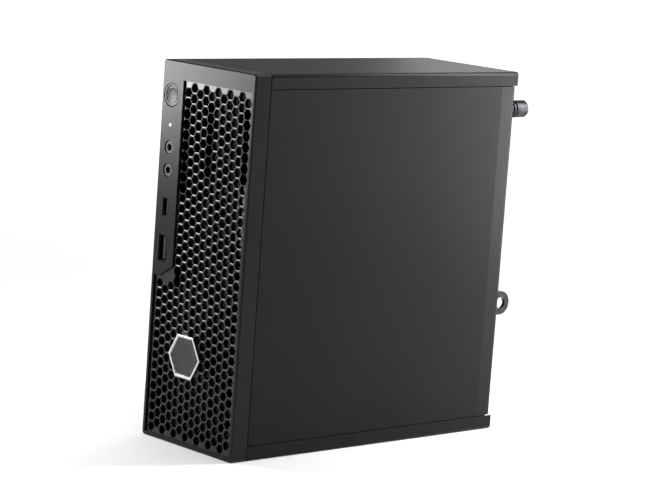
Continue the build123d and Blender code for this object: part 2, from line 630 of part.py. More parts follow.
def screws():
    """Board screws, and those that hold the two plug-in cards."""
    for y, z in board_screw_places():
        yield screw_x(y, z, BOARD_FACE, IN_LEFT + 1.5)
    storage_mid = (STORAGE_Y[0] + STORAGE_Y[1]) / 2
    wireless_mid = (WIRELESS_Y[0] + WIRELESS_Y[1]) / 2
    for y, z in ((storage_mid, STORAGE_Z[0] + 0.5), (wireless_mid, WIRELESS_Z[0] + 0.5)):
        post = rod_x(y, z, M3_HEAD, (BOARD_FACE, STORAGE_X))
        yield post + rod_x(y, z, M3_RADIUS - 0.1, (STORAGE_X, STORAGE_X + CARD_THICK + 0.05)) \
            + rod_x(y, z, M3_HEAD, (STORAGE_X + CARD_THICK + 0.05, STORAGE_X + CARD_THICK + 1.2))


def board_sockets():
    """Processor frame, memory and card sockets, riser slots and cable headers."""
    high = BOARD_FACE + SOCKET_HEIGHT
    for y in MEMORY_Y:
        body = block((BOARD_FACE, high), (y, y + SOCKET_DEPTH),
                     (MEMORY_Z - 2.2, MEMORY_Z + MEMORY_LENGTH + 2.2))
        slot = block((MEMORY_X - 0.1, MEMORY_X + MEMORY_THICK + 0.1), (y + 3.9, y + SOCKET_DEPTH + 1),
                     (MEMORY_Z - 0.2, MEMORY_Z + MEMORY_LENGTH + 0.2))
        yield body - slot
    for (low, top), z in ((STORAGE_Y, STORAGE_Z[1]), (WIRELESS_Y, WIRELESS_Z[1])):
        body = block((BOARD_FACE, STORAGE_X + 1.8), (low, top), (z - 2.5, z + 4))
        yield body - block((STORAGE_X - 0.1, STORAGE_X + CARD_THICK + 0.1), (low - 1, top + 1),
                           (z - 3, z + 0.1))
    slot_y = (RISER_Y[0] - 2, RISER_Y[1] + 2)
    clear_z = (RISER_Z[0] - 0.1, RISER_Z[1] + 0.1)
    body = block((BOARD_FACE, BOARD_FACE + 11), slot_y, about(sum(RISER_Z) / 2, 4.4))
    yield body - block((RISER_X[0] - 0.1, BOARD_FACE + 12), (RISER_Y[0] - 0.1, RISER_Y[1] + 0.1), clear_z)
    socket = block((BOARD_FACE, BOARD_FACE + 3.0), about(PROCESSOR_Y, PROCESSOR_SOCKET),
                   about(PROCESSOR_Z, PROCESSOR_SOCKET))
    yield socket - block((BOARD_FACE + 2.0, BOARD_FACE + 4), about(PROCESSOR_Y, PROCESSOR_BASE + 0.4),
                         about(PROCESSOR_Z, PROCESSOR_BASE + 0.4))
    yield block((BOARD_FACE, BOARD_FACE + 8), about(DRIVE_HEADER_Y, 9), about(DRIVE_HEADER_Z, 4))
    yield block((BOARD_FACE, BOARD_FACE + 5), about(ROTOR_Y, 10), about(FAN_HEADER_Z, 5))


def card_slot():
    """Slot on the riser that the graphics card's fingers plug into."""
    middle = sum(GRAPHICS_X) / 2
    body = block(about(middle, 7.4), (RISER_Y[0] + 2, RISER_Y[1] - 2), (RISER_Z[0] - 11, RISER_Z[0]))
    return body - block((GRAPHICS_X[0] - 0.1, GRAPHICS_X[1] + 0.1), (RISER_Y[0] + 4.5, RISER_Y[1] - 4.5),
                        (RISER_Z[0] - 12, RISER_Z[0] - 4))


def memory_modules():
    """Two memory boards with their chips."""
    for y in MEMORY_Y:
        board_y = (y + 4, y + 4 + MEMORY_DEPTH)
        yield block((MEMORY_X, MEMORY_X + MEMORY_THICK), board_y, (MEMORY_Z, MEMORY_Z + MEMORY_LENGTH))
        pitch = MEMORY_LENGTH / 4
        for k in range(4):
            z = MEMORY_Z + pitch * (k + 0.5)
            yield block((MEMORY_X + MEMORY_THICK, MEMORY_X + MEMORY_THICK + 1.1), about(board_y[1] - 13, 9.5),
                        about(z, 11.5))


def clip_place(socket, end):
    """Pivot of a memory clip in y and z, and the way out in z: end is 0 for the lower, 1 the upper."""
    way = 1 if end else -1
    edge = MEMORY_Z + MEMORY_LENGTH if end else MEMORY_Z
    return MEMORY_Y[socket] + SOCKET_DEPTH + CLIP_PIVOT + GAP, edge + way * (CLIP_THICK / 2 + GAP), way


def memory_clip(socket, end):
    """Sprung arm beside a memory board, with a nib over the board's edge."""
    y, z, way = clip_place(socket, end)
    x = (BOARD_FACE + GAP, BOARD_FACE + SOCKET_HEIGHT - 0.2)
    tip = MEMORY_Y[socket] + 4 + MEMORY_DEPTH - 3
    arm = block(x, (y, tip), about(z, CLIP_THICK)) + rod_x(y, z + way * 0.4, CLIP_PIVOT, x)
    nib_z = sorted((z, z - way * (CLIP_THICK / 2 + 1.2)))
    return arm + block((MEMORY_X + MEMORY_THICK + GAP, x[1]), (tip - 4, tip), nib_z)


def storage_card():
    """Solid-state drive card with its controller and memory packages."""
    notch = rod_x(sum(STORAGE_Y) / 2, STORAGE_Z[0] + 0.5, M3_RADIUS, (STORAGE_X - 1, STORAGE_X + 2))
    yield block((STORAGE_X, STORAGE_X + CARD_THICK), STORAGE_Y, STORAGE_Z) - notch
    for low, long in ((18, 14), (36, 16), (56, 16)):
        z = (STORAGE_Z[0] + low, STORAGE_Z[0] + low + long)
        yield block((STORAGE_X + CARD_THICK, STORAGE_X + CARD_THICK + 1.2), about(sum(STORAGE_Y) / 2, 14), z)


def wireless_card():
    """Wireless card: a short board with a metal can."""
    notch = rod_x(sum(WIRELESS_Y) / 2, WIRELESS_Z[0] + 0.5, M3_RADIUS, (STORAGE_X - 1, STORAGE_X + 2))
    yield block((STORAGE_X, STORAGE_X + CARD_THICK), WIRELESS_Y, WIRELESS_Z) - notch
    yield block((STORAGE_X + CARD_THICK, STORAGE_X + CARD_THICK + 1.6), about(sum(WIRELESS_Y) / 2, 17),
                (WIRELESS_Z[0] + 6, WIRELESS_Z[0] + 24))


def coin_holder():
    """Ring that holds the clock cell, with a gap for a fingertip."""
    ring = rod_x(CELL_Y, CELL_Z, CELL_RADIUS + 1.3, (BOARD_FACE, BOARD_FACE + CELL_THICK + 1.2))
    ring -= rod_x(CELL_Y, CELL_Z, CELL_RADIUS + 0.1, (BOARD_FACE + 1.2, BOARD_FACE + 9))
    return ring - block((BOARD_FACE + 1.2, BOARD_FACE + 9), about(CELL_Y, 8), (CELL_Z, CELL_Z + 20))


def coin_cell():
    """Clock cell."""
    return rod_x(CELL_Y, CELL_Z, CELL_RADIUS, (BOARD_FACE + 1.3, BOARD_FACE + 1.3 + CELL_THICK))


# ---- Processor cooling ----
def processor():
    """Processor: a carrier board under a metal lid."""
    low = BOARD_FACE + 2.1
    base = block((low, low + 2.1), about(PROCESSOR_Y, PROCESSOR_BASE), about(PROCESSOR_Z, PROCESSOR_BASE))
    lid = block((low + 2.1, HEATSINK_BASE[0] - 0.1), about(PROCESSOR_Y, PROCESSOR_LID),
                about(PROCESSOR_Z, PROCESSOR_LID))
    return base + lid


def heatsink_screw_places():
    """The four corners where the heatsink is held down, in y and z."""
    inset = 6.0
    for y in (HEATSINK_Y[0] + inset, HEATSINK_Y[1] - inset):
        for z in (HEATSINK_Z[0] + inset, HEATSINK_Z[1] - inset):
            yield y, z


def heatsink():
    """Base plate with a stack of thin fins, open along Y for the air."""
    sink = block(HEATSINK_BASE, HEATSINK_Y, HEATSINK_Z)
    pitch = (HEATSINK_Z[1] - HEATSINK_Z[0] - FIN_THICK) / (FIN_COUNT - 1)
    fins = []
    for k in range(FIN_COUNT):
        low = HEATSINK_Z[0] + k * pitch
        fins.append(block((HEATSINK_BASE[1] - 0.5, HEATSINK_TIP), HEATSINK_Y, (low, low + FIN_THICK)))
    sink = sink + fins
    well = 5.0
    for y, z in heatsink_screw_places():
        sink -= rod_x(y, z, well, (HEATSINK_BASE[1], HEATSINK_TIP + 1))
        sink -= rod_x(y, z, SHAFT_RADIUS + 0.3, (HEATSINK_BASE[0] - 1, HEATSINK_BASE[1] + 1))
    return sink


def heatsink_screws():
    """Captive screws with a wide head, down to the board."""
    for y, z in heatsink_screw_places():
        head = rod_x(y, z, 3.4, (HEATSINK_BASE[1] + 0.1, HEATSINK_BASE[1] + 4))
        yield head + rod_x(y, z, SHAFT_RADIUS, (BOARD_FACE, HEATSINK_BASE[1] + 1))


def blower_housing():
    """Blower case: a round inlet towards the cover, an outlet towards the fins, a shaft inside."""
    wall = BLOWER_WALL
    case = block(BLOWER_X, BLOWER_Y, BLOWER_Z)
    case -= block((BLOWER_X[0] + wall, BLOWER_X[1] - wall), (BLOWER_Y[0] + wall, BLOWER_Y[1] + 1),
                  (BLOWER_Z[0] + wall, BLOWER_Z[1] - wall))
    case -= rod_x(ROTOR_Y, ROTOR_Z, BLOWER_INLET, (BLOWER_X[1] - 3, BLOWER_X[1] + 1))
    for y in (BLOWER_Y[0] + 10, BLOWER_Y[1] - 6):
        for z in (BLOWER_Z[0] + 6, BLOWER_Z[1] - 6):
            case += rod_x(y, z, 2.5, (BOARD_FACE, BLOWER_X[0] + 0.5))
    return case + rod_x(ROTOR_Y, ROTOR_Z, SHAFT_RADIUS, (BLOWER_X[0] + wall - 0.5, BLOWER_X[1] - 5))


def blade_ring(y, z, radii, x, count, thick, lean):
    """A ring of flat blades round an axis along X, each turned out of the radial line."""
    inner, outer = radii
    blade = block(x, about((inner + outer) / 2, outer - inner), about(0, thick))
    blade = Pos(0, (inner + outer) / 2, 0) * Rot(lean, 0, 0) * Pos(0, -(inner + outer) / 2, 0) * blade
    return [Pos(0, y, z) * Rot(360 * k / count, 0, 0) * blade for k in range(count)]


def blower_rotor():
    """Rotor: a hub and a disc that carries a ring of blades."""
    x = (BLOWER_X[0] + BLOWER_WALL + 0.8, BLOWER_X[1] - BLOWER_WALL - 1.0)
    disc = rod_x(ROTOR_Y, ROTOR_Z, ROTOR_RADIUS, (x[0], x[0] + 1.0))
    hub = rod_x(ROTOR_Y, ROTOR_Z, ROTOR_HUB, (x[0], x[1] - 4))
    blades = blade_ring(ROTOR_Y, ROTOR_Z, (ROTOR_RADIUS - 8, ROTOR_RADIUS - 0.4), (x[0] + 0.5, x[1]),
                        ROTOR_BLADES, 0.9, 30)
    rotor = disc + hub + blades
    return rotor - rod_x(ROTOR_Y, ROTOR_Z, SHAFT_RADIUS + SHAFT_CLEARANCE, (x[0] - 1, x[1] + 1))


# ---- Drive ----
def drive_cage():
    """Steel tray between the steel front and the top that the drive's carrier slides in."""
    y = (BEHIND_PANEL, DRIVE_Y[1] + CARRIER_END + DRIVE_TRAVEL + 2)
    low, high = DRIVE_Z[0] - CARRIER_RAIL - GAP, DRIVE_Z[1] + CARRIER_RAIL + GAP
    deep = (CAGE_X[0], CARRIER_X[1] + GAP + SHEET)
    keep = (CARRIER_X[1] + GAP, deep[1])
    cage = block(CAGE_X, y, (low - SHEET, IN_TOP))
    cage += block(deep, y, (low - SHEET, low))
    cage += block(deep, y, (high, high + SHEET))
    cage += block(deep, (y[0], y[0] + SHEET), (low - SHEET, high))
    cage += block(keep, y, (low - SHEET, low + CARRIER_RAIL))
    cage += block(keep, y, (high - CARRIER_RAIL, high + SHEET))
    cage -= block((CAGE_X[0] - 1, CAGE_X[1] + 1), CABLE_SLOT_Y, CABLE_SLOT_Z)
    return cage - rod_x(ROTOR_Y, ROTOR_Z, BLOWER_INLET, (CAGE_X[0] - 1, CAGE_X[1] + 1))


def drive_carrier():
    """Plastic frame round three sides of the drive, with finger ribs on its end."""
    x = CARRIER_X
    y = (DRIVE_Y[0], DRIVE_Y[1] + CARRIER_END)
    z = (DRIVE_Z[0] - CARRIER_RAIL, DRIVE_Z[1] + CARRIER_RAIL)
    frame = block(x, y, z)
    frame -= block((x[0] - 1, x[1] + 1), (y[0] - 1, DRIVE_Y[1] + 0.1), (DRIVE_Z[0] - 0.1, DRIVE_Z[1] + 0.1))
    for k in range(4):
        rib_y = DRIVE_Y[1] + 2 + k * 1.4
        frame += block((x[1] - 0.5, x[1] + 0.8), about(rib_y, 0.7), about(sum(DRIVE_Z) / 2, 24))
    return frame


def hard_drive():
    """Drive: a cast tray with a stepped lid and a connector notch at its front end."""
    body = block(DRIVE_X, DRIVE_Y, DRIVE_Z)
    lid = block((DRIVE_X[1] - 0.6, DRIVE_X[1] + 1), (DRIVE_Y[0] + 6, DRIVE_Y[1] - 3),
                (DRIVE_Z[0] + 3, DRIVE_Z[1] - 3))
    rim = block((DRIVE_X[1] - 0.6, DRIVE_X[1] + 1), DRIVE_Y, DRIVE_Z) - lid
    notch = block((DRIVE_X[0] + 1, DRIVE_X[1] - 2), (DRIVE_Y[0] - 1, DRIVE_Y[0] + 4),
                  (DRIVE_Z[0] + 8, DRIVE_Z[0] + 46))
    return body - rim - notch


def drive_connector():
    """Fixed connector that the drive slides onto, held by the cage's front flange."""
    z = (DRIVE_Z[0] + 9, DRIVE_Z[0] + 45)
    x = (DRIVE_X[0] + 1.4, DRIVE_X[1] - 2.4)
    return block(x, (BEHIND_PANEL + SHEET, DRIVE_Y[0] + 3.6), z)


# ---- Graphics card ----
def riser_board():
    """Riser that turns the graphics card parallel to the main board."""
    return block(RISER_X, RISER_Y, RISER_Z)


def riser_bracket():
    """Steel shelf over the riser, with a rear flange and a front foot."""
    x = (BOARD_FACE + 14, RAIL[0] - 1.0)
    y = (RISER_Y[0] - 10, IN_REAR)
    shelf = block(x, y, DIVIDER_Z)
    shelf += block((x[0] + 8, x[1]), (y[1] - SHEET, y[1]), (BRACKET_Z[1] + 1, DIVIDER_Z[1]))
    for k in range(4):
        window_y = about(RISER_Y[0] + 20 + 24 * k, 14)
        shelf -= block((x[0] + 8, RISER_X[1] - 4), window_y, (DIVIDER_Z[0] - 1, DIVIDER_Z[1] + 1))
    return shelf


def graphics_board():
    """Low-profile graphics board with its edge connector and its processor."""
    board = block(GRAPHICS_X, GRAPHICS_Y, GRAPHICS_Z)
    fingers_y = (RISER_Y[0] + 5, RISER_Y[1] - 5)
    board += block(GRAPHICS_X, fingers_y, (GRAPHICS_Z[1] - 1, GRAPHICS_Z[1] + GRAPHICS_FINGERS))
    chip_x = (GRAPHICS_X[1] - 0.5, COOLER_X[0])
    return board + block(chip_x, about(GRAPHICS_FAN_Y, 24), about(GRAPHICS_FAN_Z, 24))


def graphics_cooler():
    """Cooler with a round fan well and open channels to the rear."""
    cooler = block(COOLER_X, COOLER_Y, COOLER_Z)
    well = (COOLER_X[0] + 3, COOLER_X[1] + 1)
    cooler -= rod_x(GRAPHICS_FAN_Y, GRAPHICS_FAN_Z, GRAPHICS_FAN_RADIUS + FAN_GAP, well)
    channels = 11
    pitch = (COOLER_Z[1] - COOLER_Z[0] - 4) / channels
    for k in range(channels):
        z = COOLER_Z[0] + 2 + pitch * (k + 0.5)
        cooler -= block((well[0], COOLER_X[1] - 1.2), (GRAPHICS_FAN_Y, COOLER_Y[1] + 1), about(z, pitch - 1.2))
    return cooler + rod_x(GRAPHICS_FAN_Y, GRAPHICS_FAN_Z, SHAFT_RADIUS, (COOLER_X[0] + 2, COOLER_X[1] - 4))


def graphics_fan():
    """Small axial fan: a hub with swept blades."""
    x = (COOLER_X[0] + 4, COOLER_X[1] - 1)
    hub = rod_x(GRAPHICS_FAN_Y, GRAPHICS_FAN_Z, 9.0, x)
    count = 11
    blade = block(about(0, 1.0), (6, GRAPHICS_FAN_RADIUS - 0.8), about(0, 8.0))
    middle = sum(x) / 2
    place = Pos(middle, GRAPHICS_FAN_Y, GRAPHICS_FAN_Z)
    blades = [place * Rot(360 * k / count, 0, 0) * Rot(0, 38, 0) * blade for k in range(count)]
    fan = hub + blades
    return fan - rod_x(GRAPHICS_FAN_Y, GRAPHICS_FAN_Z, SHAFT_RADIUS + SHAFT_CLEARANCE, (x[0] - 1, x[1] - 2))


def mini_port_places():
    """Centres of the graphics card's three display sockets, in x and z."""
    x = GRAPHICS_X[1] + MINI_PORT[0] / 2
    return [(x, sum(GRAPHICS_Z) / 2 + k * MINI_PORT_PITCH) for k in (-1, 0, 1)]


def graphics_bracket():
    """Card bracket behind the rear panel, with socket holes, vents and a folded foot."""
    y = (IN_REAR - SHEET, IN_REAR)
    plate = block(BRACKET_X, y, BRACKET_Z)
    plate += block(BRACKET_X, (y[0] - 9, y[1]), (BRACKET_Z[0] - SHEET, BRACKET_Z[0]))
    for x, z in mini_port_places():
        plate -= block(about(x, MINI_PORT[0] + 0.4), (y[0] - 1, y[1] + 1), about(z, MINI_PORT[1] + 0.4))
    vents = 11
    for k in range(vents):
        z = BRACKET_Z[0] + 12 + k * 5.6
        plate -= block((BRACKET_X[0] + 11.5, BRACKET_X[1] - 2.6), (y[0] - 1, y[1] + 1), about(z, 3.0))
    return plate


def graphics_sockets():
    """Three small display sockets on the graphics board."""
    y = (IN_REAR - 14, REAR_OUT)
    for x, z in mini_port_places():
        shell = shell_box(about(x, MINI_PORT[0]), y, about(z, MINI_PORT[1]), SOCKET_WALL, 6)
        yield shell + block(about(x, 0.8), (y[1] - 7, y[1] - 1), about(z, 5.0))


# ---- Rear sockets ----
def power_inlet():
    """Power inlet: a barrel with a centre pin, on a square body."""
    x = BOARD_FACE + 7.5
    body = block((BOARD_FACE, BOARD_FACE + 15), (SOCKET_Y[0], IN_REAR - 0.2), about(POWER_IN_Z, 12))
    barrel = rod_y(x, POWER_IN_Z, POWER_IN_RADIUS, (IN_REAR - 1, SOCKET_Y[1]))
    bore = rod_y(x, POWER_IN_Z, POWER_IN_BORE, (SOCKET_Y[1] - 11, SOCKET_Y[1] + 1))
    return body + barrel - bore + rod_y(x, POWER_IN_Z, 0.6, (SOCKET_Y[1] - 12, SOCKET_Y[1] - 1))


def ethernet_socket():
    """Network socket with a latch notch."""
    low, high, reach = ETHERNET
    x = (BOARD_FACE, BOARD_FACE + reach)
    middle = (low + high) / 2
    body = block(x, SOCKET_Y, (low, high))
    mouth_y = (SOCKET_Y[1] - 12, SOCKET_Y[1] + 1)
    body -= block((x[0] + 3.6, x[1] - 1.6), mouth_y, about(middle, 11.8))
    return body - block((x[0] + 1.6, x[0] + 4), mouth_y, about(middle, 6.2))


def stacked_socket(stack, tongue_x, tongue_z):
    """Two sockets one above the other in one shell, each with a tongue."""
    low, high, reach = stack
    x = (BOARD_FACE, BOARD_FACE + reach)
    middle = (low + high) / 2
    body = block(x, SOCKET_Y, (low, high))
    mouth_y = (SOCKET_Y[1] - 11, SOCKET_Y[1] + 1)
    for centre in (x[0] + 3.8, x[1] - 3.6):
        body -= block(about(centre, 5.0), mouth_y, about(middle, high - low - 2))
        body += block(about(centre + 0.6, tongue_x), (mouth_y[0] - 1, SOCKET_Y[1] - 1), about(middle, tongue_z))
    return body


def antenna_sockets():
    """Two threaded antenna sockets with a hexagonal nut and a protective cap each."""
    for x in ANTENNA_X:
        barrel = rod_y(x, ANTENNA_Z, ANTENNA_RADIUS, (IN_REAR - 4, REAR + 3.5))
        nut = extrude(Face(hexagon(x, ANTENNA_Z, 8.0, REAR_OUT)), 1.6, dir=(0, 1, 0))
        yield barrel + nut


def option_cover():
    """Blank plate over the place for an optional port, with two screw heads."""
    middle = sum(OPTION_X) / 2
    plate = block(OPTION_X, (REAR_OUT, REAR_OUT + 0.8), OPTION_Z)
    for z in (OPTION_Z[0] + 4, OPTION_Z[1] - 4):
        plate += rod_y(middle, z, 2.4, (REAR_OUT, REAR_OUT + 1.7))
        plate -= block(about(middle, 2.8), (REAR_OUT + 1.2, REAR_OUT + 3), about(z, 0.6))
        plate -= block(about(middle, 0.6), (REAR_OUT + 1.2, REAR_OUT + 3), about(z, 2.8))
    return plate


# ---- Small inner pieces ----
def speaker():
    """Speaker box with a round cone opening towards the vents."""
    x, z = (BOARD_FACE + 5, BOARD_FACE + 29), (14.0, 54.0)
    box = block(x, (BEHIND_PANEL, BEHIND_PANEL + 12), z)
    return box - rod_x(BEHIND_PANEL + 6, sum(z) / 2, 4.5, (x[1] - 2, x[1] + 1)) \
        - block((x[0] - 1, x[0] + 3), (BEHIND_PANEL - 1, BEHIND_PANEL + 3), (z[0] - 1, z[1] + 1))


def intrusion_switch():
    """Switch on the steel front that feels whether the cover is on."""
    body = block((RAIL[0] - 10, RAIL[0] - 0.8), (BEHIND_PANEL, BEHIND_PANEL + 7), about(PLUNGER_Z, 7))
    return body - rod_x(PLUNGER_Y, PLUNGER_Z, PLUNGER_RADIUS + SHAFT_CLEARANCE, PLUNGER_BORE)


def intrusion_plunger():
    """Plunger that rests against the cover."""
    x = (PLUNGER_BORE[0] + PLUNGER_TRAVEL + GAP, IN_RIGHT - GAP)
    return rod_x(PLUNGER_Y, PLUNGER_Z, PLUNGER_RADIUS, x)


def cable(points, radius):
    """A round cable through straight runs, with each corner as wide as its two runs allow."""
    radii = []
    for a, b, c in zip(points, points[1:], points[2:]):
        before, after = Vector(*b) - Vector(*a), Vector(*c) - Vector(*b)
        half_turn = math.radians(before.get_angle(after)) / 2
        radii.append(0.45 * min(before.length, after.length) / math.tan(half_turn))
    path = FilletPolyline(*points, radius=radii)
    return sweep(Plane(origin=path @ 0, z_dir=path % 0) * Circle(radius), path=path)


def inner_cables():
    """Drive cable, blower cable and the two antenna cables, each held at both ends."""
    slot_y, slot_z = sum(CABLE_SLOT_Y) / 2, sum(CABLE_SLOT_Z) / 2
    turn_x = BOARD_FACE + 12
    yield cable([(DRIVE_X[0] + 1.4, slot_y, slot_z), (turn_x, slot_y, slot_z),
                 (turn_x, slot_y, DRIVE_HEADER_Z), (turn_x, DRIVE_HEADER_Y, DRIVE_HEADER_Z),
                 (BOARD_FACE + 8, DRIVE_HEADER_Y, DRIVE_HEADER_Z)], CABLE_RADIUS)
    yield cable([(BOARD_FACE + 5, ROTOR_Y, FAN_HEADER_Z), (BOARD_FACE + 15, ROTOR_Y, FAN_HEADER_Z),
                 (BOARD_FACE + 15, ROTOR_Y, BLOWER_Z[1])], 1.0)
    card_z = WIRELESS_Z[0] + 27
    turn_z = DISPLAY_STACK[1] + 4
    for k, x in enumerate(ANTENNA_X):
        run_x = BOARD_FACE + 8 + 2 * k
        low_y, high_y = WIRELESS_Y[1] - 7 + 4 * k, HEATSINK_Y[1] + 5 + 4 * k
        yield cable([(STORAGE_X + CARD_THICK, low_y, card_z), (run_x + 1.5, low_y, card_z),
                     (run_x + 1.5, low_y, turn_z), (run_x + 1.5, high_y, turn_z),
                     (run_x + 1.5, high_y, ANTENNA_Z - 7), (x, high_y, ANTENNA_Z),
                     (x, IN_REAR - 4, ANTENNA_Z)], ANTENNA_CABLE_RADIUS)


def build():
    """Writes every sub-part."""
    save("chassis_shell", chassis_shell())
    save("rear_panel", rear_panel())
    save("front_panel", front_panel())
    save("front_bezel", front_bezel())
    save("front_grille", front_grille())
    save("badge", badge())
    save("power_button", power_button())
    save("activity_lens", activity_lens())
    save("io_board", io_board())
    save("headset_jack", audio_jack(HEADSET_Z))
    save("line_out_jack", audio_jack(LINE_OUT_Z))
    save("usb_c_socket", usb_socket(USB_C_Z, USB_C_SHELL, (0.7, 6.6)))
    save("usb_a_socket", usb_socket(USB_A_Z, USB_A_SHELL, (1.9, 11.0)))
    save("power_switch", power_switch())
    save("side_cover", side_cover())
    save("thumbscrew_collar", thumbscrew_collar())
    save("thumbscrew_washer", thumbscrew_washer())
    save("thumbscrew", thumbscrew())
    save("padlock_ring", padlock_ring())
    save("side_feet", *side_feet())
    save("motherboard", motherboard())
    save("board_standoffs", *board_standoffs())
    save("board_screws", *screws())
    save("board_sockets", *board_sockets())
    save("memory_modules", *memory_modules())
    for socket in (0, 1):
        for end, name in enumerate(("lower", "upper")):
            save(f"memory_clip_{name}_{socket + 1}", memory_clip(socket, end))
    save("storage_card", *storage_card())
    save("wireless_card", *wireless_card())
    save("coin_holder", coin_holder())
    save("coin_cell", coin_cell())
    save("processor", processor())
    save("heatsink", heatsink())
    save("heatsink_screws", *heatsink_screws())
    save("blower_housing", blower_housing())
    save("blower_rotor", blower_rotor())
    save("drive_cage", drive_cage())
    save("drive_carrier", drive_carrier())
    save("hard_drive", hard_drive())
    save("drive_connector", drive_connector())
    save("riser_board", riser_board())
    save("card_slot", card_slot())
    save("riser_bracket", riser_bracket())
    save("graphics_board", graphics_board())
    save("graphics_cooler", graphics_cooler())
    save("graphics_fan", graphics_fan())
    save("graphics_bracket", graphics_bracket())
    save("graphics_sockets", *graphics_sockets())
    save("power_inlet", power_inlet())
    save("ethernet_socket", ethernet_socket())
    save("rear_usb_sockets", *[stacked_socket(stack, 1.9, 11.0) for stack in USB_STACKS])
    save("display_sockets", stacked_socket(DISPLAY_STACK, 1.0, 13.0))
    save("antenna_sockets", *antenna_sockets())
    save("option_cover", option_cover())
    save("speaker", speaker())
    save("intrusion_switch", intrusion_switch())
    save("intrusion_plunger", intrusion_plunger())
    save("inner_cables", *inner_cables())


os.makedirs("parts", exist_ok=True)
build()
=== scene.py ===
# %% [markdown]
# # A compact upright computer
# The case, the boards and the fans come from the CAD model, ready made and in place.
# This lesson gives them their surfaces, and models again, in finer detail, the few pieces
# that the eye rests on: the honeycomb grille, the badge, the power button and the thumbscrew.

# %% Load the frame
import math
import bpy
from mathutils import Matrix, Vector


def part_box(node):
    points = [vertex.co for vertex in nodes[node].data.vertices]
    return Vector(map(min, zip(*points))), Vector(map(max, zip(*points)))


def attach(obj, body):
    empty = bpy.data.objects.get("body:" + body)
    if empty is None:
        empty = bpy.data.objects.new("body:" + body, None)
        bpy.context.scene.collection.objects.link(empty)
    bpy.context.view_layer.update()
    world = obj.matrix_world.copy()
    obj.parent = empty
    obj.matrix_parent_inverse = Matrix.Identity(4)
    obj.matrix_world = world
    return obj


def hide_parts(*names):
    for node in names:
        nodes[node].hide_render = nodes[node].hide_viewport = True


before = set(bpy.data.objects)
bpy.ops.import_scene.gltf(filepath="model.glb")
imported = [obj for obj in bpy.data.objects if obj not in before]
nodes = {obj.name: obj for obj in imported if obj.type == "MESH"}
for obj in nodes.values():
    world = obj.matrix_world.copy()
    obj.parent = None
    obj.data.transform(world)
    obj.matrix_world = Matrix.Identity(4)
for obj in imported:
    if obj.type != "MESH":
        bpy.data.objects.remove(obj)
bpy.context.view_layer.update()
MM = 0.001

# %% [markdown]
# ## The camera
# The camera stands to the front right of the case and a little above its top.
# It is turned slightly about its own axis, so the case leans a little in the picture.

# %% Camera
AZIMUTH, ELEVATION, ROLL = 47.4, 8.9, 4.1       # degrees
DISTANCE = 1.351                                # metres to the middle of the case
LENS = 143.5                                    # millimetres on a 36 mm film
low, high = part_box("chassis_shell")
middle = Vector((0, 0, high.z / 2))
turn, rise = math.radians(AZIMUTH), math.radians(ELEVATION)
back = Vector((math.sin(turn) * math.cos(rise), -math.cos(turn) * math.cos(rise), math.sin(rise)))
bpy.ops.object.camera_add(location=middle + back * DISTANCE)
camera = bpy.context.object
camera.rotation_euler = back.to_track_quat("Z", "Y").to_euler()
camera.rotation_euler.rotate_axis("Z", math.radians(ROLL))
camera.data.lens = LENS
camera.data.clip_start = 0.01
bpy.context.scene.camera = camera
print("camera", [round(c, 3) for c in camera.location])

# %% [markdown]
# ## Light and floor
# A black case is drawn mostly by what it reflects, so each side is given something to reflect.
# A lamp that is near falls off quickly over the case, and that fall is the gradient that the eye
# reads. So a tall lamp stands close behind the right side and makes the cover fade from grey to
# black, and a small one to the front left brightens the port strip and is mirrored in the slopes
# of the grille as short dashes. One behind edges the top, and a large one is for the floor.
# The walls give little light, but the camera sees them as plain white paper.

# %% Lamps and walls
def lamp(name, place, size, watts):
    """A soft lamp of a width and a height, turned towards the case and left out of the picture."""
    bpy.ops.object.light_add(type="AREA", location=place)
    light = bpy.context.object
    light.name = name
    light.data.shape = "RECTANGLE"
    light.data.size, light.data.size_y = size
    light.data.energy = watts
    light.rotation_euler = (Vector(place) - middle).to_track_quat("Z", "Y").to_euler()
    light.visible_camera = False


lamp("front left lamp", (-0.26, -0.25, 0.20), (0.10, 0.16), 1.4)
lamp("rear right lamp", (0.145, 0.28, 0.25), (0.10, 0.46), 2.9)
lamp("rear left lamp", (-0.40, 0.62, 0.34), (0.3, 0.2), 0.35)
lamp("overhead lamp", (0.0, 0.1, 1.5), (1.4, 1.4), 8.5)

sky = bpy.data.worlds.new("studio walls")
sky.use_nodes = True
wall = sky.node_tree.nodes["Background"]
wall.inputs["Color"].default_value = (1, 1, 1, 1)
seen = sky.node_tree.nodes.new("ShaderNodeLightPath")
level = sky.node_tree.nodes.new("ShaderNodeMapRange")
level.inputs["To Min"].default_value = 0.3
level.inputs["To Max"].default_value = 1.0
sky.node_tree.links.new(seen.outputs["Is Camera Ray"], level.inputs["Value"])
sky.node_tree.links.new(level.outputs["Result"], wall.inputs["Strength"])
bpy.context.scene.world = sky
bpy.context.scene.view_settings.view_transform = "Standard"
print("four lamps")

# %% Floor
bpy.ops.mesh.primitive_plane_add(size=12, location=(0, 0, 0))
floor = bpy.context.object
floor.name = "studio_floor"
print("floor", round(floor.dimensions.x), "m across")

# %% [markdown]
# ## How a finish is made
# Every finish starts from one shader. Patterns are worked out from real sizes: a noise scale of
# 1 / grain gives a grain of that many metres. One small function adds a node with its settings.

# %% Helpers for finishes
def linear(colour):
    """Turns an sRGB hex colour into the linear values that a shader reads."""
    parts = [int(colour[k:k + 2], 16) / 255 for k in (1, 3, 5)]
    return [p / 12.92 if p <= 0.04045 else ((p + 0.055) / 1.055) ** 2.4 for p in parts] + [1]


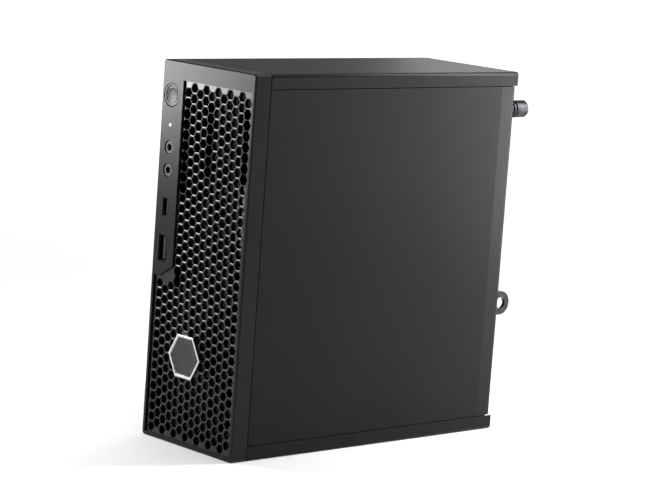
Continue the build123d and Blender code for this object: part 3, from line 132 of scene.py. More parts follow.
def add(material, kind, settings=(), links=(), stops=(), **choices):
    """Adds a node, makes its choices, sets its sockets and links other sockets into it.

    A colour ramp takes its two stops as pairs of a place and a hex colour."""
    node = material.node_tree.nodes.new(kind)
    for number, (position, colour) in enumerate(stops):
        node.color_ramp.elements[number].position = position
        node.color_ramp.elements[number].color = linear(colour)
    for name, value in choices.items():
        setattr(node, name, value)
    for name, value in dict(settings).items():
        node.inputs[name].default_value = value
    for name, socket in dict(links).items():
        material.node_tree.links.new(socket, node.inputs[name])
    return node


def finish(name, roughness, metallic=0.0, **sockets):
    """A material with its main shader set, and the object's own coordinates ready to use."""
    material = bpy.data.materials.new(name)
    material.use_nodes = True
    shader = material.node_tree.nodes["Principled BSDF"]
    shader.inputs["Roughness"].default_value = roughness
    shader.inputs["Metallic"].default_value = metallic
    for socket, value in sockets.items():
        shader.inputs[socket.replace("_", " ")].default_value = value
    place = add(material, "ShaderNodeTexCoord").outputs["Object"]
    return material, shader, place


def wire(material, output, socket):
    """Links one socket to another."""
    material.node_tree.links.new(output, socket)


def dress(material, shader, pattern, shades=None, rough=None, bump=None):
    """Lets a pattern drive a shader's colour, roughness and relief, whichever of them are given.

    The relief is a strength and a depth in millimetres."""
    if shades:
        tone = add(material, "ShaderNodeValToRGB", links={"Fac": pattern}, stops=shades)
        wire(material, tone.outputs["Color"], shader.inputs["Base Color"])
    if rough:
        smooth, dull = rough
        level = add(material, "ShaderNodeMapRange", {"To Min": smooth, "To Max": dull}, {"Value": pattern})
        wire(material, level.outputs["Result"], shader.inputs["Roughness"])
    if bump:
        strength, depth = bump
        relief = add(material, "ShaderNodeBump", {"Strength": strength, "Distance": depth * MM},
                     {"Height": pattern})
        wire(material, relief.outputs["Normal"], shader.inputs["Normal"])


finishes = {}
print("helpers ready")

# %% [markdown]
# ## Powder-coated steel
# The folded case and the cover are sheet steel under a baked black powder. The powder melts into
# a fine orange-peel texture, which breaks up reflections. Its real grain of about half a
# millimetre is drawn slightly larger, so that it shows. Real paint has an IOR of about 1.5. It is
# set lower here, for this coat and for the satin plastic, to keep the black deep.

# %% Powder coat
coat, shader, place = finish("powder-coated steel", 0.40, IOR=1.2)
grain = add(coat, "ShaderNodeTexNoise", {"Scale": 1 / (0.8 * MM), "Detail": 2.0}, {"Vector": place})
cloud = add(coat, "ShaderNodeTexNoise", {"Scale": 1 / (60 * MM), "Detail": 1.0}, {"Vector": place})
dress(coat, shader, cloud.outputs["Fac"], shades=[(0.3, "#0f0f10"), (0.7, "#131314")])
dress(coat, shader, grain.outputs["Fac"], rough=(0.34, 0.46), bump=(0.22, 0.05))
finishes["coat"] = coat
print(coat.name)

# %% [markdown]
# ## Moulded ABS
# The front frame and the power button are injection moulded in black ABS. The tool is lightly
# spark eroded, which leaves a satin skin that is smoother than the powder coat. The grille and
# the dark trims come from a polished tool, so they shine more.

# %% Moulded front
abs_skin, shader, place = finish("satin moulded ABS", 0.32, IOR=1.24)
pits = add(abs_skin, "ShaderNodeTexNoise", {"Scale": 1 / (0.6 * MM), "Detail": 3.0}, {"Vector": place})
tone = add(abs_skin, "ShaderNodeTexNoise", {"Scale": 1 / (35 * MM)}, {"Vector": place})
dress(abs_skin, shader, tone.outputs["Fac"], shades=[(0.3, "#0f0f10"), (0.7, "#141415")])
dress(abs_skin, shader, pits.outputs["Fac"], rough=(0.26, 0.36), bump=(0.12, 0.03))
finishes["abs"] = abs_skin

gloss, shader, place = finish("polished moulded ABS", 0.26, IOR=1.38)
wisps = add(gloss, "ShaderNodeTexNoise", {"Scale": 1 / (9 * MM), "Detail": 4.0}, {"Vector": place})
dress(gloss, shader, wisps.outputs["Fac"], shades=[(0.35, "#08080a"), (0.7, "#0e0e10")], rough=(0.2, 0.32))
finishes["gloss"] = gloss
print(abs_skin.name, gloss.name)

# %% [markdown]
# ## Metals
# Inner sheets are zinc-coated steel, whose crystals make a pattern of flat patches called
# spangle. Board screws are nickel plated, and what shows outside, such as the cover's screw
# and the padlock ring, is plated black, which leaves a dark grey metal sheen. Fins are extruded
# aluminium with faint lines along the extrusion. The aerial sockets are gold-plated brass.

# %% Zinc, nickel, aluminium and brass
zinc, shader, place = finish("zinc-coated steel", 0.38, 1.0)
patch = add(zinc, "ShaderNodeTexVoronoi", {"Scale": 1 / (4 * MM)}, {"Vector": place})
dress(zinc, shader, patch.outputs["Color"], shades=[(0.1, "#8f9294"), (0.9, "#b4b6b7")], rough=(0.28, 0.5))
finishes["zinc"] = zinc

nickel, shader, place = finish("nickel-plated steel", 0.26, 1.0)
smear = add(nickel, "ShaderNodeTexNoise", {"Scale": 1 / (3 * MM), "Detail": 5.0}, {"Vector": place})
dress(nickel, shader, smear.outputs["Fac"], shades=[(0.3, "#a6a39c"), (0.7, "#c4c1ba")], rough=(0.2, 0.36))
finishes["nickel"] = nickel

black_zinc, shader, place = finish("black zinc-plated steel", 0.34, 1.0)
smear = add(black_zinc, "ShaderNodeTexNoise", {"Scale": 1 / (2.5 * MM), "Detail": 5.0}, {"Vector": place})
dress(black_zinc, shader, smear.outputs["Fac"], shades=[(0.3, "#2b2b2d"), (0.7, "#3d3d40")],
      rough=(0.26, 0.42))
finishes["black zinc"] = black_zinc

fins, shader, place = finish("extruded aluminium", 0.34, 1.0)
LINE_WIDTH, LINE_LENGTH = 0.5 * MM, 40 * MM
stretch = (1 / LINE_WIDTH, 1 / LINE_LENGTH, 1 / LINE_WIDTH)
along = add(fins, "ShaderNodeMapping", {"Scale": stretch}, {"Vector": place})
lines = add(fins, "ShaderNodeTexNoise", {"Scale": 1.0, "Detail": 3.0}, {"Vector": along.outputs["Vector"]})
dress(fins, shader, lines.outputs["Fac"], shades=[(0.3, "#b9bbbd"), (0.7, "#d3d4d5")], rough=(0.26, 0.46))
finishes["fins"] = fins

cast, shader, place = finish("die-cast aluminium", 0.42, 1.0)
skin = add(cast, "ShaderNodeTexNoise", {"Scale": 1 / (0.9 * MM), "Detail": 4.0}, {"Vector": place})
flow = add(cast, "ShaderNodeTexNoise", {"Scale": 1 / (25 * MM)}, {"Vector": place})
dress(cast, shader, flow.outputs["Fac"], shades=[(0.3, "#8d8f91"), (0.7, "#a3a5a7")])
dress(cast, shader, skin.outputs["Fac"], rough=(0.36, 0.52), bump=(0.2, 0.04))
finishes["cast"] = cast

gold, shader, place = finish("gold-plated brass", 0.24, 1.0)
smear = add(gold, "ShaderNodeTexNoise", {"Scale": 1 / (2 * MM), "Detail": 3.0}, {"Vector": place})
dress(gold, shader, smear.outputs["Fac"], shades=[(0.3, "#b8944a"), (0.7, "#d2b066")])
finishes["gold"] = gold
print(zinc.name, nickel.name, fins.name, gold.name)

# %% [markdown]
# ## Boards, plastics and rubber
# A circuit board is glass cloth under solder mask. Copper tracks show through the mask as paler
# lines, about 0.3 mm wide on the real board and drawn wider here. Packages on a board are black
# epoxy, so a board's finish turns black above the height of its own face.

# %% Solder mask with tracks
TRACK_PITCH, TRACK_GAP, TRACK_STEP = 1.3 * MM, 0.75 * MM, 4 * MM
BEND, BEND_GRAIN, PATCH_GRAIN = 14 * MM, 16 * MM, 22 * MM      # how far and how often tracks shift


def board_finish(name, dark, pale, axis, face=None, chips="#111113"):
    """Solder mask with tracks on a board, and black packages beyond the face at that X."""
    mask, shader, place = finish(name, 0.34, IOR=1.5)
    split = add(mask, "ShaderNodeSeparateXYZ", links={"Vector": place})
    over = [split.outputs[a] for a in "XYZ" if a != axis]
    warp = add(mask, "ShaderNodeTexNoise", {"Scale": 1 / BEND_GRAIN}, {"Vector": place})
    shift = add(mask, "ShaderNodeMath", {1: BEND}, {0: warp.outputs["Fac"]}, operation="MULTIPLY")
    step = add(mask, "ShaderNodeMath", {1: TRACK_STEP}, {0: shift.outputs["Value"]}, operation="SNAP")
    line = add(mask, "ShaderNodeMath", links={0: over[1], 1: step.outputs["Value"]}, operation="ADD")
    wave = add(mask, "ShaderNodeMath", {1: TRACK_PITCH}, {0: line.outputs["Value"]}, operation="PINGPONG")
    track = add(mask, "ShaderNodeMath", {1: TRACK_GAP}, {0: wave.outputs["Value"]}, operation="GREATER_THAN")
    area = add(mask, "ShaderNodeTexNoise", {"Scale": 1 / PATCH_GRAIN}, {"Vector": place})
    shown = add(mask, "ShaderNodeMath", {1: 0.5}, {0: area.outputs["Fac"]}, operation="GREATER_THAN")
    both = add(mask, "ShaderNodeMath", links={0: track.outputs["Value"], 1: shown.outputs["Value"]},
               operation="MULTIPLY")
    tone = add(mask, "ShaderNodeValToRGB", links={"Fac": both.outputs["Value"]},
               stops=[(0.2, dark), (0.8, pale)])
    colour = tone.outputs["Color"]
    if face is not None:
        above = add(mask, "ShaderNodeMath", {1: face}, {0: split.outputs["X"]}, operation="GREATER_THAN")
        mix = add(mask, "ShaderNodeMix", links={"Factor": above.outputs["Value"]}, data_type="RGBA")
        wire(mask, colour, mix.inputs["A"])
        mix.inputs["B"].default_value = linear(chips)
        colour = mix.outputs["Result"]
    wire(mask, colour, shader.inputs["Base Color"])
    dress(mask, shader, both.outputs["Value"], bump=(0.25, 0.04))
    print(name, "on the plane across", axis)
    return mask


finishes["main board"] = board_finish("green solder mask", "#0c2a1c", "#1d4a33", "X")
finishes["riser board"] = board_finish("green solder mask, level board", "#0c2a1c", "#1d4a33", "Z")
card_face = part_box("graphics_cooler")[0].x - 0.4 * MM
finishes["card board"] = board_finish("black solder mask", "#0b1512", "#1c2c27", "X", card_face)
memory_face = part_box("memory_modules")[0].x + 1.25 * MM
finishes["memory"] = board_finish("green solder mask with packages", "#0d3022", "#21573d", "X", memory_face)
low_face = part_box("storage_card")[0].x + 0.85 * MM
finishes["plug-in card"] = board_finish("dark solder mask with packages", "#0e1b17", "#27463b", "X", low_face)

# %% Plain plastics, rubber and cable
def grained(name, dark, pale, grain, roughness, bump_depth, **sockets):
    """A non-metal with a fine grain in its colour and its surface."""
    material, shader, place = finish(name, roughness, **sockets)
    noise = add(material, "ShaderNodeTexNoise", {"Scale": 1 / (grain * MM), "Detail": 3.0}, {"Vector": place})
    dress(material, shader, noise.outputs["Fac"], shades=[(0.3, dark), (0.7, pale)], bump=(0.3, bump_depth))
    return material


finishes["socket"] = grained("glass-filled nylon", "#111112", "#1b1b1d", 0.7, 0.5, 0.03, IOR=1.53)
finishes["fan"] = grained("moulded polyester", "#161618", "#202023", 1.2, 0.42, 0.02, IOR=1.55)
finishes["rubber"] = grained("moulded rubber", "#121212", "#1a1a1a", 0.9, 0.75, 0.05)
finishes["jacket"] = grained("cable jacket PVC", "#0e0e0f", "#19191a", 1.5, 0.45, 0.02)
finishes["dark steel"] = grained("black-painted steel", "#0c0c0d", "#131314", 1.0, 0.55, 0.03)
finishes["blue"] = grained("blue nylon", "#12324f", "#193f61", 0.7, 0.45, 0.03, IOR=1.53)

# %% [markdown]
# ## Sockets, lens and floor
# A rear socket is a black nylon body in a thin nickel shell, and only the shell's rim reaches the
# outside. So its finish is metal near the mouth and black behind it. The lens is clear
# polycarbonate with a slight haze. The floor is a white sheet that gives a little light of its
# own far from the case, where the lamps don't reach, so that it stays white to the horizon.

# %% Sockets, lens and floor
RIM_DEPTH = 0.65 * MM
shielded, shader, place = finish("nickel shell round black nylon", 0.32)
split = add(shielded, "ShaderNodeSeparateXYZ", links={"Vector": place})
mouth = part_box("ethernet_socket")[1].y - RIM_DEPTH
rim = add(shielded, "ShaderNodeMath", {1: mouth}, {0: split.outputs["Y"]}, operation="GREATER_THAN")
smear = add(shielded, "ShaderNodeTexNoise", {"Scale": 1 / (3 * MM), "Detail": 2.0}, {"Vector": place})
mix = add(shielded, "ShaderNodeMix", links={"Factor": rim.outputs["Value"]}, data_type="RGBA")
for side, stops in (("A", [(0.3, "#0e0e0f"), (0.7, "#18181a")]), ("B", [(0.3, "#a6a39c"), (0.7, "#bcb9b2")])):
    tone = add(shielded, "ShaderNodeValToRGB", links={"Fac": smear.outputs["Fac"]}, stops=stops)
    wire(shielded, tone.outputs["Color"], mix.inputs[side])
wire(shielded, mix.outputs["Result"], shader.inputs["Base Color"])
wire(shielded, rim.outputs["Value"], shader.inputs["Metallic"])
finishes["shielded"] = shielded

lens, shader, place = finish("clear polycarbonate", 0.12, IOR=1.58)
shader.inputs["Transmission Weight"].default_value = 0.6
haze = add(lens, "ShaderNodeTexNoise", {"Scale": 1 / (1 * MM)}, {"Vector": place})
dress(lens, shader, haze.outputs["Fac"], shades=[(0.3, "#c9d2d6"), (0.7, "#e6ebee")])
finishes["lens"] = lens

pale_floor, shader, place = finish("white acrylic light table", 0.7)
mottle = add(pale_floor, "ShaderNodeTexNoise", {"Scale": 1 / (300 * MM)}, {"Vector": place})
dress(pale_floor, shader, mottle.outputs["Fac"], shades=[(0.3, "#f0f0f0"), (0.7, "#f5f5f5")])
away = add(pale_floor, "ShaderNodeVectorMath", links={0: place}, operation="LENGTH")
GLOW_START, GLOW_END, GLOW = 0.25, 1.1, 0.9       # metres from the middle, and the full strength
spread = {"From Min": GLOW_START, "From Max": GLOW_END, "To Min": 0.0, "To Max": GLOW}
glow = add(pale_floor, "ShaderNodeMapRange", spread, {"Value": away.outputs["Value"]})
shader.inputs["Emission Color"].default_value = (1, 1, 1, 1)
wire(pale_floor, glow.outputs["Result"], shader.inputs["Emission Strength"])
floor.data.materials.append(pale_floor)
print(len(finishes), "finishes")

# %% [markdown]
# ## Finishes for the CAD pieces
# A CAD piece keeps its mesh and gets a new material in each of its slots. On the case and the
# cover a bevel modifier rounds the edges by 0.15 mm, because a perfectly sharp edge never
# catches the light. The weld modifier first joins the mesh's loose triangles.

# %% Paint and soften
def paint(finish_name, *names, edge=0.0):
    """Gives CAD pieces a finish, and rounds their edges by a width in millimetres."""
    for name in names:
        piece = nodes[name]
        for slot in piece.material_slots:
            slot.material = finishes[finish_name]
        if edge:
            weld = piece.modifiers.new("join", "WELD")
            weld.merge_threshold = 0.002 * MM
            bevel = piece.modifiers.new("soft edges", "BEVEL")
            bevel.width = edge * MM
            bevel.segments = 2
            bevel.limit_method = "ANGLE"
            bevel.angle_limit = math.radians(40)
            bevel.loop_slide = False      # on, it pushes four corners out of the case
    print(finish_name, "on", len(names), "pieces")


paint("coat", "chassis_shell", "side_cover", edge=0.15)
paint("coat", "rear_panel", "option_cover")
paint("abs", "front_bezel")
paint("dark steel", "front_panel")
paint("zinc", "drive_cage", "riser_bracket", "graphics_bracket", "coin_cell", "processor")
# The front USB sockets get this dark plating too: painted shade that keeps their holes dark.
paint("black zinc", "padlock_ring", "thumbscrew_collar", "thumbscrew_washer", "usb_c_socket", "usb_a_socket")
paint("shielded", "ethernet_socket", "rear_usb_sockets", "display_sockets", "graphics_sockets")
paint("nickel", "board_standoffs", "board_screws", "heatsink_screws",
      "memory_clip_lower_1", "memory_clip_upper_1", "memory_clip_lower_2", "memory_clip_upper_2")
paint("fins", "heatsink")
paint("cast", "hard_drive")
paint("gold", "antenna_sockets")
paint("rubber", "side_feet")
paint("jacket", "inner_cables")
paint("lens", "activity_lens")
paint("main board", "motherboard", "io_board")
paint("riser board", "riser_board")
paint("card board", "graphics_board")
paint("memory", "memory_modules")
paint("plug-in card", "storage_card", "wireless_card")
paint("socket", "headset_jack", "line_out_jack", "power_switch", "board_sockets", "card_slot", "coin_holder",
      "drive_connector", "power_inlet", "speaker", "intrusion_switch", "intrusion_plunger", "graphics_cooler")
paint("fan", "blower_housing", "blower_rotor", "graphics_fan")
paint("blue", "drive_carrier")

# %% [markdown]
# ## The honeycomb grille
# The grille is one moulding with hundreds of six-sided holes, each with a sloping edge that
# glints. Cutting is the natural way to make it: one six-sided cutter, wider at its mouth, is
# shaped once, copied to every place of the honeycomb, and taken away from a plain plate.

# %% Sizes of the grille
def plain():
    """Deselects everything and leaves object mode ready for a new piece."""
    if bpy.context.mode != "OBJECT":
        bpy.ops.object.mode_set(mode="OBJECT")
    bpy.ops.object.select_all(action="DESELECT")


def pick(test):
    """Selects, in edit mode, the faces of the active piece whose centre and normal pass a test."""
    bpy.ops.object.mode_set(mode="OBJECT")
    bpy.context.tool_settings.mesh_select_mode = (False, False, True)
    mesh = bpy.context.object.data
    for part in (mesh.vertices, mesh.edges, mesh.polygons):
        part.foreach_set("select", [False] * len(part))
    for face in mesh.polygons:
        face.select = test(face.center, face.normal)
    bpy.ops.object.mode_set(mode="EDIT")


def take(*pieces):
    """Selects only these pieces and makes the last one active."""
    plain()
    for piece in pieces:
        piece.select_set(True)
    bpy.context.view_layer.objects.active = pieces[-1]


def settle():
    """Moves the place, turn and size of the active piece into its mesh."""
    bpy.ops.object.transform_apply(location=True, rotation=True, scale=True)


def merge_doubles(piece):
    """Joins points that a cut or a bevel has left in almost the same place."""
    take(piece)
    bpy.ops.object.mode_set(mode="EDIT")
    bpy.ops.mesh.select_all(action="SELECT")
    bpy.ops.mesh.remove_doubles(threshold=0.002 * MM)
    bpy.ops.object.mode_set(mode="OBJECT")


grille_low, grille_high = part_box("front_grille")
left, right = grille_low.x, grille_high.x
bottom, top = grille_low.z, grille_high.z
face, rear = grille_low.y, grille_high.y
PITCH, HOLE, MOUTH, SLOPE = 5.2 * MM, 4.2 * MM, 5.08 * MM, 0.14 * MM
BEZEL_WALL, TOP_BAND, STRIP, STRIP_DROP, SLANT = 2 * MM, 9 * MM, 16 * MM, 107 * MM, 6 * MM
GAP, HOLE_EDGE, BADGE_CLEAR, PAST = 0.1 * MM, 0.9 * MM, 10.5 * MM, 1 * MM     # PAST: a cutter's overshoot
bezel_low, bezel_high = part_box("front_bezel")
strip_x = bezel_low.x + STRIP
strip_foot = bezel_high.z - STRIP_DROP
badge_low, badge_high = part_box("badge")
badge_middle = (badge_low + badge_high) / 2
print("grille", round((right - left) / MM, 1), "by", round((top - bottom) / MM, 1), "mm")

# %% The plate
plain()
bpy.ops.mesh.primitive_cube_add(size=1, location=((left + right) / 2, (face + rear) / 2, (bottom + top) / 2))
plate = bpy.context.object
plate.name = "honeycomb_grille"
plate.dimensions = (right - left, rear - face, top - bottom)
settle()
plain()
bpy.ops.mesh.primitive_cube_add(size=1)
corner = bpy.context.object
corner.name = "strip_corner"
corner.dimensions = (STRIP, 10 * MM, STRIP_DROP)
corner.location = (strip_x + GAP - STRIP / 2, face, strip_foot - 2 * GAP + STRIP_DROP / 2)
settle()
bpy.ops.object.mode_set(mode="EDIT")
bpy.ops.mesh.select_all(action="SELECT")
slant_foot = (strip_x + GAP, 0, strip_foot + SLANT - GAP)
slant_way = (0.5, 0, -math.sqrt(3) / 2)
bpy.ops.mesh.bisect(plane_co=slant_foot, plane_no=slant_way, use_fill=True, clear_outer=True)
bpy.ops.object.mode_set(mode="OBJECT")
print("plate and corner cutter")

# %% One hole cutter
plain()
reach_in = rear - face + PAST - SLOPE
bpy.ops.mesh.primitive_cylinder_add(vertices=6, radius=HOLE / math.sqrt(3), depth=reach_in,
                                    rotation=(math.pi / 2, math.pi / 6, 0))
cutter = bpy.context.object
cutter.location = (0, face + SLOPE + reach_in / 2, 0)
settle()
pick(lambda centre, normal: normal.y < -0.9)
bpy.ops.mesh.extrude_region_move(TRANSFORM_OT_translate={"value": (0, -SLOPE, 0)})
bpy.ops.transform.resize(value=(MOUTH / HOLE, 1, MOUTH / HOLE), center_override=(0, 0, 0))
bpy.ops.mesh.extrude_region_move(TRANSFORM_OT_translate={"value": (0, -PAST / 2, 0)})
bpy.ops.object.mode_set(mode="OBJECT")
print("cutter with", len(cutter.data.polygons), "faces")

# %% Copies of the cutter at every place of the honeycomb
def honeycomb(x, z, pitch):
    """Centres of a flat-topped honeycomb that fill a window."""
    step = pitch * math.sqrt(3) / 2
    columns = int((x[1] - x[0]) / step)
    rows = int((z[1] - z[0]) / pitch)
    start = (x[0] + x[1] - columns * step) / 2
    for column in range(columns + 1):
        odd = column % 2
        first = (z[0] + z[1] - rows * pitch) / 2 + odd * pitch / 2
        for row in range(rows + 1 - odd):
            yield start + column * step, first + row * pitch


edge = HOLE / 2 + HOLE_EDGE
window_x = (bezel_low.x + BEZEL_WALL + edge, bezel_high.x - BEZEL_WALL - edge)
window_z = (BEZEL_WALL + edge, bezel_high.z - TOP_BAND - edge)
plain()
copies = []
for x, z in honeycomb(window_x, window_z, PITCH):
    beside = x > strip_x + edge
    beneath = z < strip_foot - edge
    on_badge = math.hypot(x - badge_middle.x, z - badge_middle.z) < BADGE_CLEAR
    if (beside or beneath) and not on_badge:
        copy = cutter.copy()
        copy.data = cutter.data.copy()
        copy.location = (x, 0, z)
        bpy.context.collection.objects.link(copy)
        copies.append(copy)
take(*reversed(copies))
bpy.ops.object.join()
holes = bpy.context.object
bpy.data.objects.remove(cutter)
print(len(copies), "holes")

# %% Cut the plate
for tool in (corner, holes):
    take(plate)
    cut = plate.modifiers.new("cut", "BOOLEAN")
    cut.operation = "DIFFERENCE"
    cut.solver = "EXACT"
    cut.object = tool
    bpy.ops.object.modifier_apply(modifier=cut.name)
    bpy.data.objects.remove(tool)
merge_doubles(plate)
plate.data.materials.append(finishes["gloss"])
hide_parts("front_grille")
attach(plate, "case")
print("grille has", len(plate.data.polygons), "faces")

# %% [markdown]
# ## The badge
# The badge is a plain six-sided plate with a bright thin rim round a dark, slightly hollow
# centre. It starts as a six-sided cylinder. Insets make the rim, and a small bevel rounds it.

# %% Badge
anodised, shader, place = finish("anodised aluminium", 0.28, 1.0)
turned = add(anodised, "ShaderNodeTexNoise", {"Scale": 1 / (1.5 * MM), "Detail": 4.0}, {"Vector": place})
dress(anodised, shader, turned.outputs["Fac"], shades=[(0.3, "#a9abad"), (0.7, "#c9cbcd")])
finishes["anodised"] = anodised

across, badge_depth = badge_high.z - badge_low.z, badge_high.y - badge_low.y
plain()
bpy.ops.mesh.primitive_cylinder_add(vertices=6, radius=across / math.sqrt(3), depth=badge_depth,
                                    rotation=(math.pi / 2, math.pi / 6, 0), location=badge_middle)
badge = bpy.context.object
badge.name = "hexagonal_badge"
settle()
badge.data.materials.append(finishes["anodised"])
badge.data.materials.append(finishes["gloss"])
pick(lambda centre, normal: normal.y < -0.9)
for thickness, depth in ((0.2, 0), (0.8, 0), (0.3, -0.5)):       # the flat rim, and its inner wall
    bpy.ops.mesh.inset(thickness=thickness * MM, depth=depth * MM)
badge.active_material_index = 1
bpy.ops.object.material_slot_assign()
bpy.ops.mesh.inset(thickness=3.2 * MM, depth=-0.12 * MM)         # the hollow of the dark centre
bpy.ops.object.mode_set(mode="OBJECT")
bevel = badge.modifiers.new("rim", "BEVEL")
bevel.width, bevel.segments = 0.12 * MM, 2
bpy.ops.object.modifier_apply(modifier=bevel.name)
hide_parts("badge")
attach(badge, "case")
print("badge", round(across / MM, 1), "mm across")

# %% [markdown]
# ## The power button
# The button is a round cap with a chamfered edge, a fine ring and a shallow dish that guides a
# fingertip. A cylinder is inset ring by ring, and the inner rings are pushed in.

# %% Power button
button_low, button_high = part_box("power_button")
button_x = (button_low.x + button_high.x) / 2
button_z = (button_low.z + button_high.z) / 2
CAP, STEM_RADIUS, EAR_WIDTH, EAR_THICK = 2.35 * MM, 1.8 * MM, 6 * MM, 1 * MM
RING_IN, RING_OUT = 2.0 * MM, 1.1 * MM           # the polished ring, measured in from the rim
cap_back = button_low.y + CAP
rim = (button_high.x - button_low.x) / 2
plain()
bpy.ops.mesh.primitive_cylinder_add(vertices=64, radius=rim, depth=cap_back - button_low.y,
                                    rotation=(math.pi / 2, 0, 0),
                                    location=(button_x, (cap_back + button_low.y) / 2, button_z))
button = bpy.context.object
button.name = "dished_power_button"
settle()
button.data.materials.append(finishes["abs"])
button.data.materials.append(finishes["gloss"])
pick(lambda centre, normal: normal.y < -0.9)
bpy.ops.mesh.inset(thickness=0.02 * MM, depth=0)
STEPS = ((0.3, 0.0), (0.9, 0.0), (0.12, -0.3), (0.35, 0.0), (0.12, 0.25), (0.8, -0.12), (0.9, -0.08))
for thickness, depth in STEPS:       # width and depth of each step from the edge inwards
    bpy.ops.mesh.inset(thickness=thickness * MM, depth=depth * MM)
bpy.ops.object.mode_set(mode="OBJECT")
for ring in button.data.polygons:
    reach = math.hypot(ring.center.x - button_x, ring.center.z - button_z)
    if rim - RING_IN < reach < rim - RING_OUT:
        ring.material_index = 1
bevel = button.modifiers.new("edge", "BEVEL")
bevel.width, bevel.segments, bevel.limit_method = 0.2 * MM, 3, "ANGLE"
bevel.angle_limit = math.radians(60)
bpy.ops.object.modifier_apply(modifier=bevel.name)
merge_doubles(button)
plain()
bpy.ops.mesh.primitive_cube_add(size=1, location=(button_x, cap_back + EAR_THICK / 2, button_z))
ears = bpy.context.object
ears.dimensions = (EAR_WIDTH, EAR_THICK, button_high.z - button_low.z)
settle()
plain()
stem_start = cap_back + EAR_THICK
bpy.ops.mesh.primitive_cylinder_add(vertices=24, radius=STEM_RADIUS, depth=button_high.y - stem_start,
                                    rotation=(math.pi / 2, 0, 0),
                                    location=(button_x, (button_high.y + stem_start) / 2, button_z))
stem = bpy.context.object
settle()
for piece in (ears, stem):
    piece.data.materials.append(finishes["abs"])
take(ears, stem, button)
bpy.ops.object.join()
bpy.ops.object.shade_smooth_by_angle(angle=math.radians(25))
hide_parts("power_button")
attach(button, "button")
print("button", round(2 * rim / MM, 1), "mm across")

# %% [markdown]
# ## The thumbscrew
# The screw that holds the cover has a tall head with straight knurling to grip, chamfered ends
# and a slot for a driver. A many-sided cylinder is inset at both ends, its outer edges are
# drawn back to make the chamfers, and every other side is pushed in to make the knurls.

# %% Thumbscrew
screw_low, screw_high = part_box("thumbscrew")
screw_x = (screw_low.x + screw_high.x) / 2
screw_z = (screw_low.z + screw_high.z) / 2
HEAD, HEAD_RADIUS, SHANK = 8.5 * MM, 4.5 * MM, 1.75 * MM
CHAMFER, KNURL, SLOT_SIZE = 0.5 * MM, 0.2 * MM, (1.2 * MM, 2.4 * MM, 7 * MM)
head_start = screw_high.y - HEAD
plain()
bpy.ops.mesh.primitive_cylinder_add(vertices=96, radius=HEAD_RADIUS, depth=HEAD, rotation=(math.pi / 2, 0, 0),
                                    location=(screw_x, screw_high.y - HEAD / 2, screw_z))
screw = bpy.context.object
screw.name = "knurled_thumbscrew"
settle()
for way in (1, -1):
    pick(lambda centre, normal: normal.y * way > 0.9)
    bpy.ops.mesh.inset(thickness=0.02 * MM, depth=0)
    bpy.ops.mesh.inset(thickness=CHAMFER, depth=0.0)
bpy.ops.object.mode_set(mode="OBJECT")
mesh = screw.data
for corner_point in mesh.vertices:
    reach = math.hypot(corner_point.co.x - screw_x, corner_point.co.z - screw_z)
    if reach > HEAD_RADIUS - 0.3 * MM:
        end = min(abs(corner_point.co.y - screw_high.y), abs(corner_point.co.y - head_start))
        if end < 0.1 * MM:
            way = 1 if corner_point.co.y < head_start + HEAD / 2 else -1
            corner_point.co.y += way * CHAMFER
pick(lambda centre, normal: abs(normal.y) < 0.2)
bpy.ops.object.mode_set(mode="OBJECT")
for number, side in enumerate(sorted((f for f in mesh.polygons if f.select),
                                     key=lambda f: math.atan2(f.center.z - screw_z, f.center.x - screw_x))):
    side.select = number % 2 == 0
bpy.ops.object.mode_set(mode="EDIT")
bpy.ops.mesh.inset(thickness=0.03 * MM, depth=-KNURL, use_individual=True)
bpy.ops.object.mode_set(mode="OBJECT")
print("head with", len(mesh.polygons), "faces")

# %% Slot and shank
plain()
bpy.ops.mesh.primitive_cube_add(size=1, location=(screw_x, screw_high.y, screw_z))
slot = bpy.context.object
slot.dimensions = SLOT_SIZE
settle()
take(screw)
cut = screw.modifiers.new("slot", "BOOLEAN")
cut.solver, cut.object = "EXACT", slot
bpy.ops.object.modifier_apply(modifier=cut.name)
bpy.data.objects.remove(slot)
plain()
length = head_start - screw_low.y
bpy.ops.mesh.primitive_cylinder_add(vertices=40, radius=SHANK, depth=length, rotation=(math.pi / 2, 0, 0),
                                    location=(screw_x, screw_low.y + length / 2, screw_z))
shank = bpy.context.object
settle()
pick(lambda centre, normal: normal.y < -0.9)
bpy.ops.mesh.inset(thickness=0.4 * MM, depth=0)
bpy.ops.object.mode_set(mode="OBJECT")
take(shank, screw)
bpy.ops.object.join()
screw.data.materials.append(finishes["black zinc"])
bpy.ops.object.shade_smooth_by_angle(angle=math.radians(20))
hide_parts("thumbscrew")
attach(screw, "screw")
print("thumbscrew", round((screw_high.y - screw_low.y) / MM, 1), "mm long")

# %% [markdown]
# ## Label on the drive
# The drive wears a plain paper label with printed bars. It is a thin plate whose corners are
# rounded by a bevel, and the bars come from the height above and below its middle.

# %% Drive label
paper, shader, place = finish("coated label paper", 0.5, IOR=1.45)
split = add(paper, "ShaderNodeSeparateXYZ", links={"Vector": place})
fibre = add(paper, "ShaderNodeTexNoise", {"Scale": 1 / (0.7 * MM), "Detail": 3.0}, {"Vector": place})
tone = add(paper, "ShaderNodeValToRGB", links={"Fac": fibre.outputs["Fac"]},
           stops=[(0.3, "#a9a9a5"), (0.7, "#b5b5b1")])
drive_low, drive_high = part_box("hard_drive")
drive_y, drive_z = (drive_low.y + drive_high.y) / 2, (drive_low.z + drive_high.z) / 2
BAR_RISE, BAR_START, BAR_HALF = 9 * MM, 8.2 * MM, 30 * MM       # place, edge and half length of a bar
level = add(paper, "ShaderNodeMath", {1: drive_z}, {0: split.outputs["Z"]}, operation="SUBTRACT")
row = add(paper, "ShaderNodeMath", {1: BAR_RISE}, {0: level.outputs["Value"]}, operation="PINGPONG")
